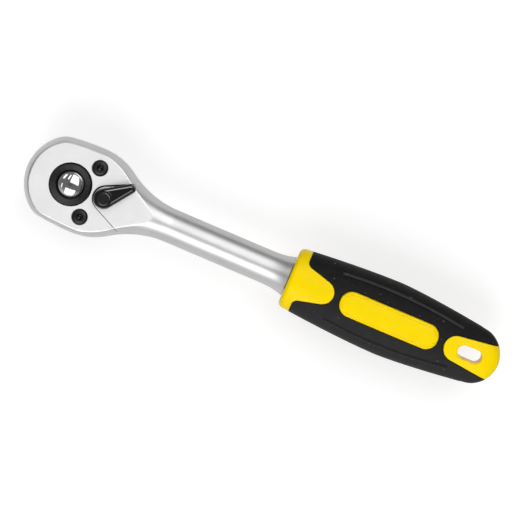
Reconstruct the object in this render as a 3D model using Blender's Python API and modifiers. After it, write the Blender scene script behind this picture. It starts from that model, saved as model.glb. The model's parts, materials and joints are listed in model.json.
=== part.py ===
"""Reversible ratchet with a half-inch drive square and a two-colour moulded grip.

Metres, +Z up. The origin is the centre of the drive square's tip, +X runs along the handle,
and the reversing lever rests towards +Y.
"""
import math

import bmesh
import bpy
from mathutils import Matrix, Vector

# Fits between pieces
SEAT_GAP = 0.0003
RUNNING_GAP = 0.00015
MERGE_DISTANCE = 0.00001

# Drive square, journal and gear, which are one forging
DRIVE_SQUARE = 0.0127
DRIVE_LENGTH = 0.0155
DRIVE_BEVEL = 0.0009
JOURNAL_RADIUS = 0.0105
JOURNAL_PROUD = 0.0005
JOURNAL_CHAMFER = 0.0005
GEAR_TEETH = 72
GEAR_TIP_RADIUS = 0.01175
GEAR_HEIGHT = 0.0121
TOOTH_DEPTH = 0.0006
TOOTH_LAND = 0.2
COLLAR_RISE = 0.0010

# Release button with its pin, and the ball that it lets in
BUTTON_RADIUS = 0.0059
BUTTON_FLANGE = 0.0006
BUTTON_FLANGE_HEIGHT = 0.0024
BUTTON_RISE = 0.0008
BUTTON_DOME = 0.0017
BUTTON_TRAVEL = 0.0024
PIN_RADIUS = 0.00285
PIN_BELOW_BALL = 0.0015
PIN_WAIST_LENGTH = 0.0006
BALL_RADIUS = 0.0024
BALL_PROUD = 0.0008
BALL_HEIGHT = 0.0070
BALL_LIP = 0.0010
SNAP_WIRE_RADIUS = 0.00045
SNAP_RING_DEPTH = 0.0017
SNAP_RING_OPENING = math.radians(40)
BUTTON_SPRING_BLOCK = 0.0049
BUTTON_SPRING_RADIUS = 0.0052
BUTTON_SPRING_WIRE = 0.00045
BUTTON_SPRING_TURNS = 4

# Head and neck
FLOOR_THICKNESS = 0.0038
POCKET_GAP = 0.0002
NOSE_WALL = 0.01145
SIDE_WALL = 0.0100
SIDE_RADIUS = 0.139
NOSE_BLEND = 0.0012
HEAD_CROWN = 0.00665
SHOULDER_X = 0.0087
SHOULDER_RADIUS = 0.031
NECK_FILLET = 0.0476
NECK_HALF_WIDTH = 0.00835
NECK_HALF_HEIGHT = 0.0084
CROWN_TAPER_X = 0.012
CROWN_TAPER_START = 1.2
CROWN_TAPER_END = 1.4
HEAD_SQUARENESS = 2.6
NECK_SQUARENESS = 2.0
FLARE_LENGTH = 0.014
FLARE_WIDTH = 0.00185
FLARE_HEIGHT = 0.0015
PLATE_THICKNESS = 0.0032

# Cover screws
SCREW_RADIUS = 0.0020
SCREW_HEAD_RADIUS = 0.0039
SCREW_LENGTH = 0.0090
SCREW_LAND = 0.00245
SCREW_ANGLE = math.radians(51.6)
SCREW_SOCKET_RADIUS = 0.0017
SCREW_SOCKET_DEPTH = 0.0015
SCREW_HEAD_EDGE = 0.0002

# Reversing lever and the shaft it turns
LEVER_HUB_RADIUS = 0.0050
LEVER_TIP_RADIUS = 0.00175
LEVER_LENGTH = 0.0142
LEVER_THICKNESS = 0.0036
LEVER_CHAMFER = 0.0006
LEVER_RIM = 0.0009
LEVER_CHANNEL_DEPTH = 0.0017
LEVER_BOSS_RADIUS = 0.0043
LEVER_REST = math.radians(43.2)
LEVER_SHAFT_RADIUS = 0.0029
SHAFT_HEAD_RADIUS = 0.0036
SHAFT_HEAD_THICKNESS = 0.0010
SHAFT_HEAD_SEAT = 0.0007
SHAFT_HEAD_EDGE = 0.0003
SHAFT_FOOT = 0.0016
WEDGE_RIM = 0.00055
WEDGE_LAND = 0.0002
WEDGE_ANGLE = math.radians(25.8)

# Double-ended pawl and the plunger that tips it
PAWL_HEIGHT = 0.0087
PAWL_FLOOR_STEP = 0.0004
PAWL_REACH = 0.0119
PAWL_HEEL_RADIUS = 0.0070
PAWL_HEEL_WALL = 0.0014
PAWL_CREST = 0.00025
PAWL_END_RADIUS = 0.0022
PAWL_END_SET = 0.0014
PAWL_END_ANGLE = math.radians(37)
PAWL_PLAIN_ANGLE = math.radians(26)
PAWL_ROCK = math.radians(4.5)
MESH_GAP = 0.00012
PLUNGER_RADIUS = 0.00105
PLUNGER_LENGTH = 0.0040
PLUNGER_NOSE = 0.0009
PLUNGER_SPRING_RADIUS = 0.00075
PLUNGER_SPRING_WIRE = 0.00015
PLUNGER_SPRING_TURNS = 2.5
PLUNGER_SPRING_PITCH = 0.0008

# Grip
GRIP_FRONT = 0.1153
GRIP_LENGTH = 0.1105
GRIP_WIDEST = 0.0527
GRIP_HALF_WIDTH = 0.0186
GRIP_FRONT_TAPER = 0.0034
GRIP_FRONT_TAPER_POWER = 1.6
GRIP_REAR_TAPER = 0.0041
GRIP_REAR_TAPER_POWER = 1.4
GRIP_END_RADIUS = 0.01435
GRIP_END_BLEND = 0.0005
GRIP_LIP = 0.0024
GRIP_THICKEST = 0.0447
GRIP_HALF_HEIGHT = 0.0140
GRIP_FRONT_THINNING = 0.0015
GRIP_FRONT_THINNING_POWER = 2.0
GRIP_REAR_THINNING = 0.0050
GRIP_REAR_THINNING_POWER = 1.6
GRIP_SQUARENESS = 2.4
GRIP_END_SQUARENESS = 4.0
SLEEVE_WALL = 0.0022
PANEL_RISE = 0.0004
PANEL_HALF_WIDTH = 0.0064
PANEL_CORNER = 0.0052
COLLAR_LENGTH = 0.0060
TONGUE_LENGTH = 0.0234
TONGUE_TIP_RADIUS = 0.0059
TONGUE_TAPER = math.radians(15)
TONGUE_ROOT_FILLET = 0.0030
BRIDGE_WIDTH = 0.0036
END_TONGUE_LENGTH = 0.0286
END_TONGUE_RADIUS = 0.00635
END_TONGUE_TAPER = math.radians(7)
RIB_RADIUS = 0.0005
RIB_SPREAD = 0.0136
RIB_FRONT = 0.0234
RIB_BACK = 0.0874
RIB_BOW = 0.0022
RIB_WIDEST_SHARE = 0.4
SLOT_LENGTH = 0.0124
SLOT_WIDTH = 0.0066
SLOT_FROM_END = 0.0152
TANG_WIDTH = 0.0130
TANG_HEIGHT = 0.0090
TANG_EDGE = 0.0015
TANG_TO_SLOT = 0.0165
TANG_ROOT = 0.0060

# Facets
COLLAR_SEGMENTS = 40
SHAFT_SEGMENTS = 28
SMALL_SEGMENTS = 16
COIL_POINTS = 10
SECTION_POINTS = 11
GRIP_SECTION_POINTS = 24
HIDDEN_SECTION_POINTS = 16
ARC_STEPS = 8
LONG_ARC_STEPS = 24
POCKET_STEPS = 40
CAM_STEPS = 32
DOME_STEPS = 6
PLUNGER_NOSE_STEPS = 4
BALL_SEGMENTS = 14
BALL_RINGS = 8
RIB_STEPS = 12
NOSE_ANGLES = (2, 8, 13, 18, 24)
FLAT_NOSE_ANGLES = (1, 9, 18, 27, 36, 45, 54)
NOSE_CORNER_SHARES = (1.1, 1.0, 0.85, 0.4)
SHOULDER_STEPS = 14
FLARE_STEPS = 5
LIP_ANGLES = (0, 25, 45, 65, 90)
GRIP_STEPS = 12
GRIP_END_ANGLES = (18, 34, 48, 60, 71, 81, 88)
SHARP_ANGLE = math.radians(35)
FLAT_ANGLE = math.radians(0.1)

# Heights that follow from the stack of pieces
BODY_BOTTOM = DRIVE_LENGTH + JOURNAL_PROUD
POCKET_FLOOR = BODY_BOTTOM + FLOOR_THICKNESS
GEAR_BOTTOM = POCKET_FLOOR + SEAT_GAP
GEAR_TOP = GEAR_BOTTOM + GEAR_HEIGHT
PLATE_BOTTOM = GEAR_TOP + SEAT_GAP
PLATE_TOP = PLATE_BOTTOM + PLATE_THICKNESS
COLLAR_TOP = PLATE_TOP + COLLAR_RISE
MID_HEIGHT = (BODY_BOTTOM + PLATE_TOP) / 2
HEAD_HALF_HEIGHT = PLATE_TOP - MID_HEIGHT
PAWL_FLOOR = POCKET_FLOOR + PAWL_FLOOR_STEP
PAWL_BOTTOM = PAWL_FLOOR + SEAT_GAP
PAWL_TOP = PAWL_BOTTOM + PAWL_HEIGHT
PAWL_CEILING = PAWL_TOP + SEAT_GAP
PLUNGER_HEIGHT = (PAWL_BOTTOM + PAWL_TOP) / 2
LEVER_BOTTOM = PLATE_TOP + SEAT_GAP
LEVER_TOP = LEVER_BOTTOM + LEVER_THICKNESS
SHAFT_BORE_BOTTOM = POCKET_FLOOR - SHAFT_FOOT
ABOVE_ALL = LEVER_TOP + HEAD_HALF_HEIGHT

# Places that follow from the gear
GEAR_POCKET_RADIUS = GEAR_TIP_RADIUS + POCKET_GAP
NOSE_RADIUS = GEAR_POCKET_RADIUS + NOSE_WALL
HEAD_HALF_WIDTH = GEAR_POCKET_RADIUS + SIDE_WALL
WEDGE_RADIUS = LEVER_HUB_RADIUS + WEDGE_RIM
LEVER_X = GEAR_POCKET_RADIUS + WEDGE_LAND + WEDGE_RADIUS
SCREW_CIRCLE = GEAR_POCKET_RADIUS + SCREW_LAND + SCREW_RADIUS
SHOULDER_SPAN = SHOULDER_RADIUS + NECK_FILLET
SHOULDER_TURN = math.acos(1 - (HEAD_HALF_WIDTH - NECK_HALF_WIDTH) / SHOULDER_SPAN)
NECK_START = SHOULDER_X + SHOULDER_SPAN * math.sin(SHOULDER_TURN)
NECK_END = GRIP_FRONT - SEAT_GAP
FLARE_START = NECK_END - FLARE_LENGTH

# Places that follow from the grip
GRIP_END = GRIP_FRONT + GRIP_LENGTH
GRIP_END_CENTRE = GRIP_END - GRIP_END_RADIUS
TONGUE_TIP = GRIP_FRONT + TONGUE_LENGTH
END_TONGUE_TIP = GRIP_END - END_TONGUE_LENGTH
SLOT_X = GRIP_END - SLOT_FROM_END
TANG_END = SLOT_X - SLOT_LENGTH / 2 - TANG_TO_SLOT

# Sizes inside the drive
BUTTON_FLANGE_RADIUS = BUTTON_RADIUS + BUTTON_FLANGE
BUTTON_BORE_RADIUS = BUTTON_FLANGE_RADIUS + SEAT_GAP
SNAP_RING_Z = COLLAR_TOP - SNAP_RING_DEPTH
SNAP_RING_RADIUS = BUTTON_RADIUS + SEAT_GAP + SNAP_WIRE_RADIUS
FLANGE_TOP = SNAP_RING_Z - SNAP_WIRE_RADIUS - SEAT_GAP
FLANGE_BOTTOM = FLANGE_TOP - BUTTON_FLANGE_HEIGHT
SPRING_SHELF = FLANGE_BOTTOM - BUTTON_TRAVEL - BUTTON_SPRING_BLOCK
PIN_BOTTOM = BALL_HEIGHT - PIN_BELOW_BALL
BALL_REACH = DRIVE_SQUARE / 2 + BALL_PROUD - BALL_RADIUS
BALL_SLOPE = BALL_PROUD / BUTTON_TRAVEL
CONE_AT_BALL = BALL_REACH - (BALL_RADIUS + RUNNING_GAP) * math.sqrt(1 + BALL_SLOPE ** 2)
CONE_END_RADIUS = CONE_AT_BALL + BALL_SLOPE * PIN_BELOW_BALL
PIN_BORE_RADIUS = max(PIN_RADIUS, CONE_END_RADIUS) + RUNNING_GAP


# Scene helpers

def clear_scene():
    for obj in list(bpy.data.objects):
        bpy.data.objects.remove(obj, do_unlink=True)


def new_collection(name):
    collection = bpy.data.collections.new(name)
    bpy.context.scene.collection.children.link(collection)
    return collection


def material(name, colour, roughness, metallic):
    made = bpy.data.materials.new(name)
    made.use_nodes = True
    shader = made.node_tree.nodes["Principled BSDF"]
    shader.inputs["Base Color"].default_value = (*colour, 1.0)
    shader.inputs["Roughness"].default_value = roughness
    shader.inputs["Metallic"].default_value = metallic
    made.diffuse_color = (*colour, 1.0)
    return made


def axis_empty(name, location, turn=0.0):
    empty = bpy.data.objects.new(name, None)
    empty.location = location
    empty.rotation_euler = (0.0, 0.0, turn)
    empty.empty_display_size = LEVER_HUB_RADIUS
    PARTS.objects.link(empty)
    return empty


def shape(name, mesh, frame=None):
    """A solid that is cut from, or joined to, another. It stays a wire guide until part() takes it."""
    obj = bpy.data.objects.new(name, mesh)
    obj.hide_render = True
    obj.display_type = "WIRE"
    obj.parent = frame
    CUTTERS.objects.link(obj)
    return obj


def part(obj, finish):
    """Turn a shape into one of the finished pieces."""
    obj.hide_render = False
    obj.display_type = "TEXTURED"
    obj.data.materials.append(finish)
    obj.data.shade_smooth()
    obj.data.set_sharp_from_angle(angle=SHARP_ANGLE)
    CUTTERS.objects.unlink(obj)
    PARTS.objects.link(obj)
    return obj


def combine(target, operand, operation, solver="EXACT"):
    boolean = target.modifiers.new(operand.name, "BOOLEAN")
    boolean.object = operand
    boolean.operation = operation
    boolean.solver = solver


def cut(target, operand, solver="EXACT"):
    combine(target, operand, "DIFFERENCE", solver)


def join(target, operand):
    combine(target, operand, "UNION")


def mesh_from(bm, name):
    mesh = bpy.data.meshes.new(name)
    bm.to_mesh(mesh)
    bm.free()
    return mesh


# Shape helpers

def cylinder(name, radius, bottom, top, segments, x=0.0, y=0.0, frame=None):
    bm = bmesh.new()
    place = Matrix.Translation((x, y, (bottom + top) / 2))
    bmesh.ops.create_cone(bm, cap_ends=True, segments=segments, radius1=radius, radius2=radius,
                          depth=top - bottom, matrix=place)
    return shape(name, mesh_from(bm, name), frame)


def block(name, low, high, edge=0.0, frame=None):
    """A box between two corners, with its edges along X rounded off by a bevel."""
    bm = bmesh.new()
    centre = (Vector(low) + Vector(high)) / 2
    size = Vector(high) - Vector(low)
    place = Matrix.Translation(centre) @ Matrix.Diagonal((*size, 1.0))
    bmesh.ops.create_cube(bm, size=1.0, matrix=place)
    if edge:
        along_x = [e for e in bm.edges if abs(e.verts[0].co.x - e.verts[1].co.x) > size.x / 2]
        bmesh.ops.bevel(bm, geom=along_x, offset=edge, segments=2, profile=0.5, affect="EDGES")
    return shape(name, mesh_from(bm, name), frame)


def turned(name, profile, segments, frame=None):
    """A profile of (radius, height) points, from top to bottom, turned about Z."""
    mesh = bpy.data.meshes.new(name)
    points = [(radius, 0.0, height) for radius, height in profile]
    mesh.from_pydata(points, [(i, i + 1) for i in range(len(points) - 1)], [])
    obj = shape(name, mesh, frame)
    screw = obj.modifiers.new("turn", "SCREW")
    screw.axis = "Z"
    screw.steps = segments
    screw.render_steps = segments
    screw.use_merge_vertices = True
    screw.merge_threshold = MERGE_DISTANCE
    return obj


def mesh_of_curve(curve):
    """Make a curve a closed mesh, with its caps welded."""
    holder = bpy.data.objects.new(curve.name, curve)
    bpy.context.scene.collection.objects.link(holder)
    graph = bpy.context.evaluated_depsgraph_get()
    mesh = bpy.data.meshes.new_from_object(holder.evaluated_get(graph))
    bpy.data.objects.remove(holder, do_unlink=True)
    bm = bmesh.new()
    bm.from_mesh(mesh)
    bmesh.ops.remove_doubles(bm, verts=bm.verts, dist=MERGE_DISTANCE)
    bmesh.ops.recalc_face_normals(bm, faces=bm.faces)
    bm.to_mesh(mesh)
    bm.free()
    return mesh


def prism(name, outlines, bottom, top, frame=None):
    """Closed outlines of (x, y) points, filled between two heights. Inner outlines are holes."""
    curve = bpy.data.curves.new(name, "CURVE")
    curve.dimensions = "2D"
    curve.fill_mode = "BOTH"
    curve.extrude = (top - bottom) / 2
    for outline in outlines:
        spline = curve.splines.new("POLY")
        spline.points.add(len(outline) - 1)
        for point, (x, y) in zip(spline.points, outline):
            point.co = (x, y, 0.0, 1.0)
        spline.use_cyclic_u = True
    mesh = mesh_of_curve(curve)
    mesh.transform(Matrix.Translation((0.0, 0.0, (bottom + top) / 2)))
    return shape(name, mesh, frame)


def tube(name, path, radius, frame=None, sides=1):
    """A round wire along a path, with its ends capped."""
    curve = bpy.data.curves.new(name, "CURVE")
    curve.dimensions = "3D"
    curve.bevel_depth = radius
    curve.bevel_resolution = sides
    curve.use_fill_caps = True
    spline = curve.splines.new("POLY")
    spline.points.add(len(path) - 1)
    for point, place in zip(spline.points, path):
        point.co = (*place, 1.0)
    return shape(name, mesh_of_curve(curve), frame)


def hull(name, discs, segments, frame=None):
    """The tight skin round level discs, each given as x, y, height and radius."""
    bm = bmesh.new()
    for x, y, height, radius in discs:
        for i in range(segments):
            angle = 2 * math.pi * i / segments
            bm.verts.new((x + radius * math.cos(angle), y + radius * math.sin(angle), height))
    skin = bmesh.ops.convex_hull(bm, input=bm.verts)
    inside = {v for v in skin["geom_interior"] if isinstance(v, bmesh.types.BMVert)}
    bmesh.ops.delete(bm, geom=list(inside), context="VERTS")
    bmesh.ops.dissolve_limit(bm, angle_limit=FLAT_ANGLE, verts=bm.verts, edges=bm.edges)
    return shape(name, mesh_from(bm, name), frame)


def loft(name, rings):
    """A closed skin over rings of equal point counts, with both ends filled."""
    bm = bmesh.new()
    rows = [[bm.verts.new(point) for point in ring] for ring in rings]
    count = len(rows[0])
    for row, following in zip(rows, rows[1:]):
        for i in range(count):
            bm.faces.new((row[i - 1], row[i], following[i], following[i - 1]))
    bm.faces.new(rows[0])
    bm.faces.new(rows[-1])
    bmesh.ops.remove_doubles(bm, verts=bm.verts, dist=MERGE_DISTANCE)
    bmesh.ops.recalc_face_normals(bm, faces=bm.faces)
    return shape(name, mesh_from(bm, name))


def arc(x, y, radius, start, end, steps=ARC_STEPS):
    """Points on an arc, with angles in radians."""
    turn = [start + (end - start) * i / steps for i in range(steps + 1)]
    return [(x + radius * math.cos(a), y + radius * math.sin(a)) for a in turn]


def mirrored(outline):
    """An open outline from +X round to +X on the +Y side, closed by its mirror image in Y."""
    return outline + [(x, -y) for x, y in reversed(outline) if y > MERGE_DISTANCE]


def smooth_min(a, b, blend):
    overlap = max(blend - abs(a - b), 0.0) / blend
    return max(min(a, b) - overlap * overlap * blend / 4, 0.0)


def helix(radius, bottom, top, turns):
    """Points of a coil about Z."""
    count = int(turns * COIL_POINTS)
    path = []
    for i in range(count + 1):
        angle = 2 * math.pi * i / COIL_POINTS
        height = bottom + (top - bottom) * i / count
        path.append(Vector((radius * math.cos(angle), radius * math.sin(angle), height)))
    return path


def print_least_gap(name, path, wire):
    """Measure how near a coil's wire comes to itself, leaving out its own run of half a turn."""
    skip = COIL_POINTS // 2
    nearest = min((a - b).length for i, a in enumerate(path) for b in path[i + skip:])
    print(f"{name}: least gap to itself {(nearest - 2 * wire) * 1000:.2f} mm")


# Head and neck

def half_width(x):
    """Half-width of the forging at mid height, without the round of its nose."""
    past = x - SHOULDER_X
    if past <= 0.0:
        return HEAD_HALF_WIDTH - past * past / (2 * SIDE_RADIUS)
    if past < SHOULDER_RADIUS * math.sin(SHOULDER_TURN):
        return HEAD_HALF_WIDTH - SHOULDER_RADIUS + math.sqrt(SHOULDER_RADIUS ** 2 - past * past)
    before = max(NECK_START - x, 0.0)
    neck = NECK_HALF_WIDTH + NECK_FILLET - math.sqrt(NECK_FILLET ** 2 - before * before)
    return neck + FLARE_WIDTH * flare(x)


def flare(x):
    return max((x - FLARE_START) / FLARE_LENGTH, 0.0) ** 3


def head_share(x):
    """One on the head, falling to nothing where the neck starts."""
    along = min(max((x - CROWN_TAPER_X) / (NECK_START - CROWN_TAPER_X), 0.0), 1.0)
    return (1.0 - along ** CROWN_TAPER_START) ** CROWN_TAPER_END


def crown(x):
    """Half-height that the section would have if its flats were not milled."""
    full = HEAD_HALF_HEIGHT + HEAD_CROWN
    return NECK_HALF_HEIGHT + (full - NECK_HALF_HEIGHT) * head_share(x) + FLARE_HEIGHT * flare(x)


def squareness(x):
    return NECK_SQUARENESS + (HEAD_SQUARENESS - NECK_SQUARENESS) * head_share(x)


def narrowing(x, rise):
    """How much of the mid-height width is left at a height above the mid plane."""
    power = squareness(x)
    return max(1.0 - abs(rise / crown(x)) ** power, 0.0) ** (1.0 / power)


def head_section(x):
    """One ring of the forging: down its +Y side, then up its -Y side."""
    power = squareness(x)
    top = min(HEAD_HALF_HEIGHT, crown(x))
    if x < 0.0:
        top = min(top, crown(x) * (1.0 - (-x / NOSE_RADIUS) ** power) ** (1.0 / power))
    side = []
    for i in range(SECTION_POINTS):
        rise = top * math.cos(math.pi * i / (SECTION_POINTS - 1))
        keep = narrowing(x, rise)
        y = half_width(x) * keep
        if x < 0.0:
            nose = math.sqrt(max((NOSE_RADIUS * keep) ** 2 - x * x, 0.0))
            y = smooth_min(nose, y, NOSE_BLEND)
        side.append((x, y, MID_HEIGHT + rise))
    return side + [(x, -y, z) for x, y, z in reversed(side)]


def head_stations():
    """Places along X where the forging's outline bends, closest where it is round."""
    flat_nose = NOSE_RADIUS * narrowing(0.0, HEAD_HALF_HEIGHT)
    nose = [-NOSE_RADIUS * math.cos(math.radians(a)) for a in NOSE_ANGLES]
    nose += [-flat_nose * math.cos(math.radians(a)) for a in FLAT_NOSE_ANGLES]
    corner = math.sqrt(NOSE_RADIUS ** 2 - half_width(0.0) ** 2)
    sides = [-corner * share for share in NOSE_CORNER_SHARES] + [0.0, SHOULDER_X]
    shoulder = [SHOULDER_X + (NECK_START - SHOULDER_X) * i / SHOULDER_STEPS
                for i in range(1, SHOULDER_STEPS + 1)]
    neck = [FLARE_START + FLARE_LENGTH * i / FLARE_STEPS for i in range(FLARE_STEPS + 1)]
    return sorted(nose + sides + shoulder + neck)


def forging(name):
    return loft(name, [head_section(x) for x in head_stations()])


def cover_region(gap):
    """The cover's outline seen from above: all of the head but the wedge under the lever."""
    radius = WEDGE_RADIUS + gap
    far = NECK_START
    wide = HEAD_HALF_WIDTH * 2
    start = math.pi / 2 + WEDGE_ANGLE
    tip = arc(LEVER_X, 0.0, radius, start, math.pi)
    line_y = tip[0][1] + (far - tip[0][0]) * math.tan(WEDGE_ANGLE)
    upper = [(-wide, 0.0), (-wide, wide), (far, max(wide, line_y + gap)), (far, line_y)] + tip
    lower = [(x, -y) for x, y in reversed(upper) if y > MERGE_DISTANCE]
    return upper + lower


def screw_places():
    x = SCREW_CIRCLE * math.cos(SCREW_ANGLE)
    y = SCREW_CIRCLE * math.sin(SCREW_ANGLE)
    return {"upper": (x, y), "lower": (x, -y)}


def pawl_pocket():
    """A round pocket about the lever's axis, cut off straight behind the pawl's heel."""
    radius = PAWL_REACH + SEAT_GAP
    back = PAWL_HEEL_RADIUS + SEAT_GAP
    angle = math.acos(back / radius)
    outline = arc(LEVER_X, 0.0, radius, angle, 2 * math.pi - angle, POCKET_STEPS)
    return prism("pawl_pocket", [outline], PAWL_FLOOR, PAWL_CEILING)


# The exact solver leaves edges open where the pockets of the body, the cover and the lever meet, so
# these three pieces use the manifold one.

def ratchet_body():
    body = forging("ratchet_body")
    tang_start = NECK_END - TANG_ROOT
    half = Vector((0.0, TANG_WIDTH / 2, TANG_HEIGHT / 2))
    low = Vector((tang_start, 0.0, MID_HEIGHT)) - half
    high = Vector((TANG_END, 0.0, MID_HEIGHT)) + half
    combine(body, block("tang", low, high, TANG_EDGE), "UNION", "MANIFOLD")
    pockets = [prism("cover_seat", [cover_region(0.0)], GEAR_TOP, ABOVE_ALL),
               cylinder("gear_pocket", GEAR_POCKET_RADIUS, POCKET_FLOOR, ABOVE_ALL, COLLAR_SEGMENTS),
               cylinder("journal_bore", JOURNAL_RADIUS + RUNNING_GAP, 0.0, PAWL_CEILING, COLLAR_SEGMENTS),
               pawl_pocket(),
               cylinder("shaft_bore", LEVER_SHAFT_RADIUS + RUNNING_GAP, SHAFT_BORE_BOTTOM, ABOVE_ALL,
                        SHAFT_SEGMENTS, LEVER_X)]
    for side, (x, y) in screw_places().items():
        bottom = PLATE_TOP - SCREW_LENGTH - SEAT_GAP
        pockets.append(cylinder("screw_hole_" + side, SCREW_RADIUS + RUNNING_GAP, bottom, ABOVE_ALL,
                                SMALL_SEGMENTS, x, y))
    for pocket in pockets:
        cut(body, pocket, "MANIFOLD")
    part(body, SATIN_CHROME)


def screw_profile(gap, top):
    """Half of a countersunk screw, grown by a gap for the hole it sits in."""
    cone_top = PLATE_TOP - SCREW_HEAD_EDGE + gap
    cone_bottom = cone_top - (SCREW_HEAD_RADIUS - SCREW_RADIUS)
    return [(SCREW_HEAD_RADIUS + gap, top), (SCREW_HEAD_RADIUS + gap, cone_top - gap),
            (SCREW_RADIUS + gap, cone_bottom - gap)]


def cover_plate():
    plate = forging("cover_plate")
    outline = prism("cover_outline", [cover_region(SEAT_GAP)], PLATE_BOTTOM, ABOVE_ALL)
    combine(plate, outline, "INTERSECT", "MANIFOLD")
    cut(plate, cylinder("collar_hole", JOURNAL_RADIUS + RUNNING_GAP, BODY_BOTTOM, ABOVE_ALL,
                        COLLAR_SEGMENTS), "MANIFOLD")
    for side, (x, y) in screw_places().items():
        profile = screw_profile(RUNNING_GAP, ABOVE_ALL)
        profile = [(0.0, ABOVE_ALL)] + profile + [(profile[-1][0], BODY_BOTTOM), (0.0, BODY_BOTTOM)]
        sink = turned("countersink_" + side, profile, SHAFT_SEGMENTS)
        sink.location = (x, y, 0.0)
        cut(plate, sink, "MANIFOLD")
    part(plate, SATIN_CHROME)


def cover_screws():
    for side, (x, y) in screw_places().items():
        bottom = PLATE_TOP - SCREW_LENGTH
        profile = [(0.0, PLATE_TOP)] + screw_profile(0.0, PLATE_TOP) + [(SCREW_RADIUS, bottom), (0.0, bottom)]
        screw = turned("cover_screw_" + side, profile, SHAFT_SEGMENTS)
        screw.location = (x, y, 0.0)
        cut(screw, cylinder("socket_" + side, SCREW_SOCKET_RADIUS, PLATE_TOP - SCREW_SOCKET_DEPTH,
                            ABOVE_ALL, 6, x, y))
        part(screw, BLACK_OXIDE)


# Drive

def gear_outline(tip, plain_angle=0.0):
    """Teeth round the drive axis, one of them on +X. Inside the plain angle there are tips only."""
    pitch = 2 * math.pi / GEAR_TEETH
    outline = []
    for i in range(GEAR_TEETH):
        centre = i * pitch
        from_axis = abs((centre + pitch / 2 + math.pi) % (2 * math.pi) - math.pi)
        root = tip if from_axis < plain_angle else tip - TOOTH_DEPTH
        for radius, share in ((tip, -TOOTH_LAND / 2), (tip, TOOTH_LAND / 2), (root, 0.5)):
            angle = centre + share * pitch
            outline.append((radius * math.cos(angle), radius * math.sin(angle)))
    return outline


def drive_gear():
    gear = prism("drive_gear", [gear_outline(GEAR_TIP_RADIUS)], GEAR_BOTTOM, GEAR_TOP)
    edge = JOURNAL_CHAMFER
    spindle = [(0.0, COLLAR_TOP), (JOURNAL_RADIUS - edge, COLLAR_TOP), (JOURNAL_RADIUS, COLLAR_TOP - edge),
               (JOURNAL_RADIUS, DRIVE_LENGTH), (0.0, DRIVE_LENGTH)]
    join(gear, turned("spindle", spindle, COLLAR_SEGMENTS))
    half = DRIVE_SQUARE / 2
    square = block("drive_square", (-half, -half, 0.0), (half, half, GEAR_BOTTOM))
    rounded = square.modifiers.new("edges", "BEVEL")
    rounded.width = DRIVE_BEVEL
    rounded.segments = 2
    join(gear, square)
    groove = SNAP_RING_RADIUS + SNAP_WIRE_RADIUS + RUNNING_GAP
    groove_half = SNAP_WIRE_RADIUS + RUNNING_GAP
    bottom = PIN_BOTTOM - BUTTON_TRAVEL - SEAT_GAP
    bore = [(0.0, ABOVE_ALL), (BUTTON_BORE_RADIUS, ABOVE_ALL),
            (BUTTON_BORE_RADIUS, SNAP_RING_Z + groove_half),
            (groove, SNAP_RING_Z + groove_half), (groove, SNAP_RING_Z - groove_half),
            (BUTTON_BORE_RADIUS, SNAP_RING_Z - groove_half), (BUTTON_BORE_RADIUS, SPRING_SHELF),
            (PIN_BORE_RADIUS, SPRING_SHELF), (PIN_BORE_RADIUS, bottom), (0.0, bottom)]
    cut(gear, turned("button_bore", bore, COLLAR_SEGMENTS))
    hole = BALL_RADIUS + RUNNING_GAP
    mouth = math.sqrt(BALL_RADIUS ** 2 - (BALL_RADIUS - BALL_PROUD) ** 2) + RUNNING_GAP
    ball_hole = [(0.0, 2 * half), (mouth, 2 * half), (mouth, half), (hole, half - BALL_LIP),
                 (hole, 0.0), (0.0, 0.0)]
    ball_bore = turned("ball_bore", ball_hole, SHAFT_SEGMENTS)
    ball_bore.location = (0.0, 0.0, BALL_HEIGHT)
    ball_bore.rotation_euler = (math.pi / 2, 0.0, 0.0)
    cut(gear, ball_bore)
    part(gear, BLACK_OXIDE)


def release_button():
    """Dome, guide flange and pin. The pin's cone holds the ball out until the button is pressed."""
    dome_base = COLLAR_TOP + BUTTON_RISE
    dome = []
    for i in range(DOME_STEPS + 1):
        angle = math.pi / 2 * (1 - i / DOME_STEPS)
        dome.append((BUTTON_RADIUS * math.cos(angle), dome_base + BUTTON_DOME * math.sin(angle)))
    waist = BALL_HEIGHT + BUTTON_TRAVEL + PIN_WAIST_LENGTH
    waist_radius = CONE_AT_BALL - BALL_SLOPE * (waist - BALL_HEIGHT)
    waist_top = waist + PIN_WAIST_LENGTH
    pin_top = BALL_HEIGHT + BUTTON_TRAVEL + BALL_RADIUS + SEAT_GAP
    profile = dome + [(BUTTON_RADIUS, FLANGE_TOP), (BUTTON_FLANGE_RADIUS, FLANGE_TOP),
                      (BUTTON_FLANGE_RADIUS, FLANGE_BOTTOM), (PIN_RADIUS, FLANGE_BOTTOM),
                      (PIN_RADIUS, pin_top), (waist_radius, waist_top), (waist_radius, waist),
                      (CONE_END_RADIUS, PIN_BOTTOM), (0.0, PIN_BOTTOM)]
    part(turned("release_button", profile, SHAFT_SEGMENTS), POLISHED_CHROME)


def detent_ball():
    bm = bmesh.new()
    bmesh.ops.create_uvsphere(bm, u_segments=BALL_SEGMENTS, v_segments=BALL_RINGS, radius=BALL_RADIUS)
    ball = shape("detent_ball", mesh_from(bm, "detent_ball"))
    ball.location = (0.0, -BALL_REACH, BALL_HEIGHT)
    part(ball, POLISHED_CHROME)


def button_snap_ring():
    start = SNAP_RING_OPENING / 2
    ring = arc(0.0, 0.0, SNAP_RING_RADIUS, start, 2 * math.pi - start, LONG_ARC_STEPS)
    path = [Vector((x, y, SNAP_RING_Z)) for x, y in ring]
    part(tube("button_snap_ring", path, SNAP_WIRE_RADIUS), SPRING_STEEL)


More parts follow.
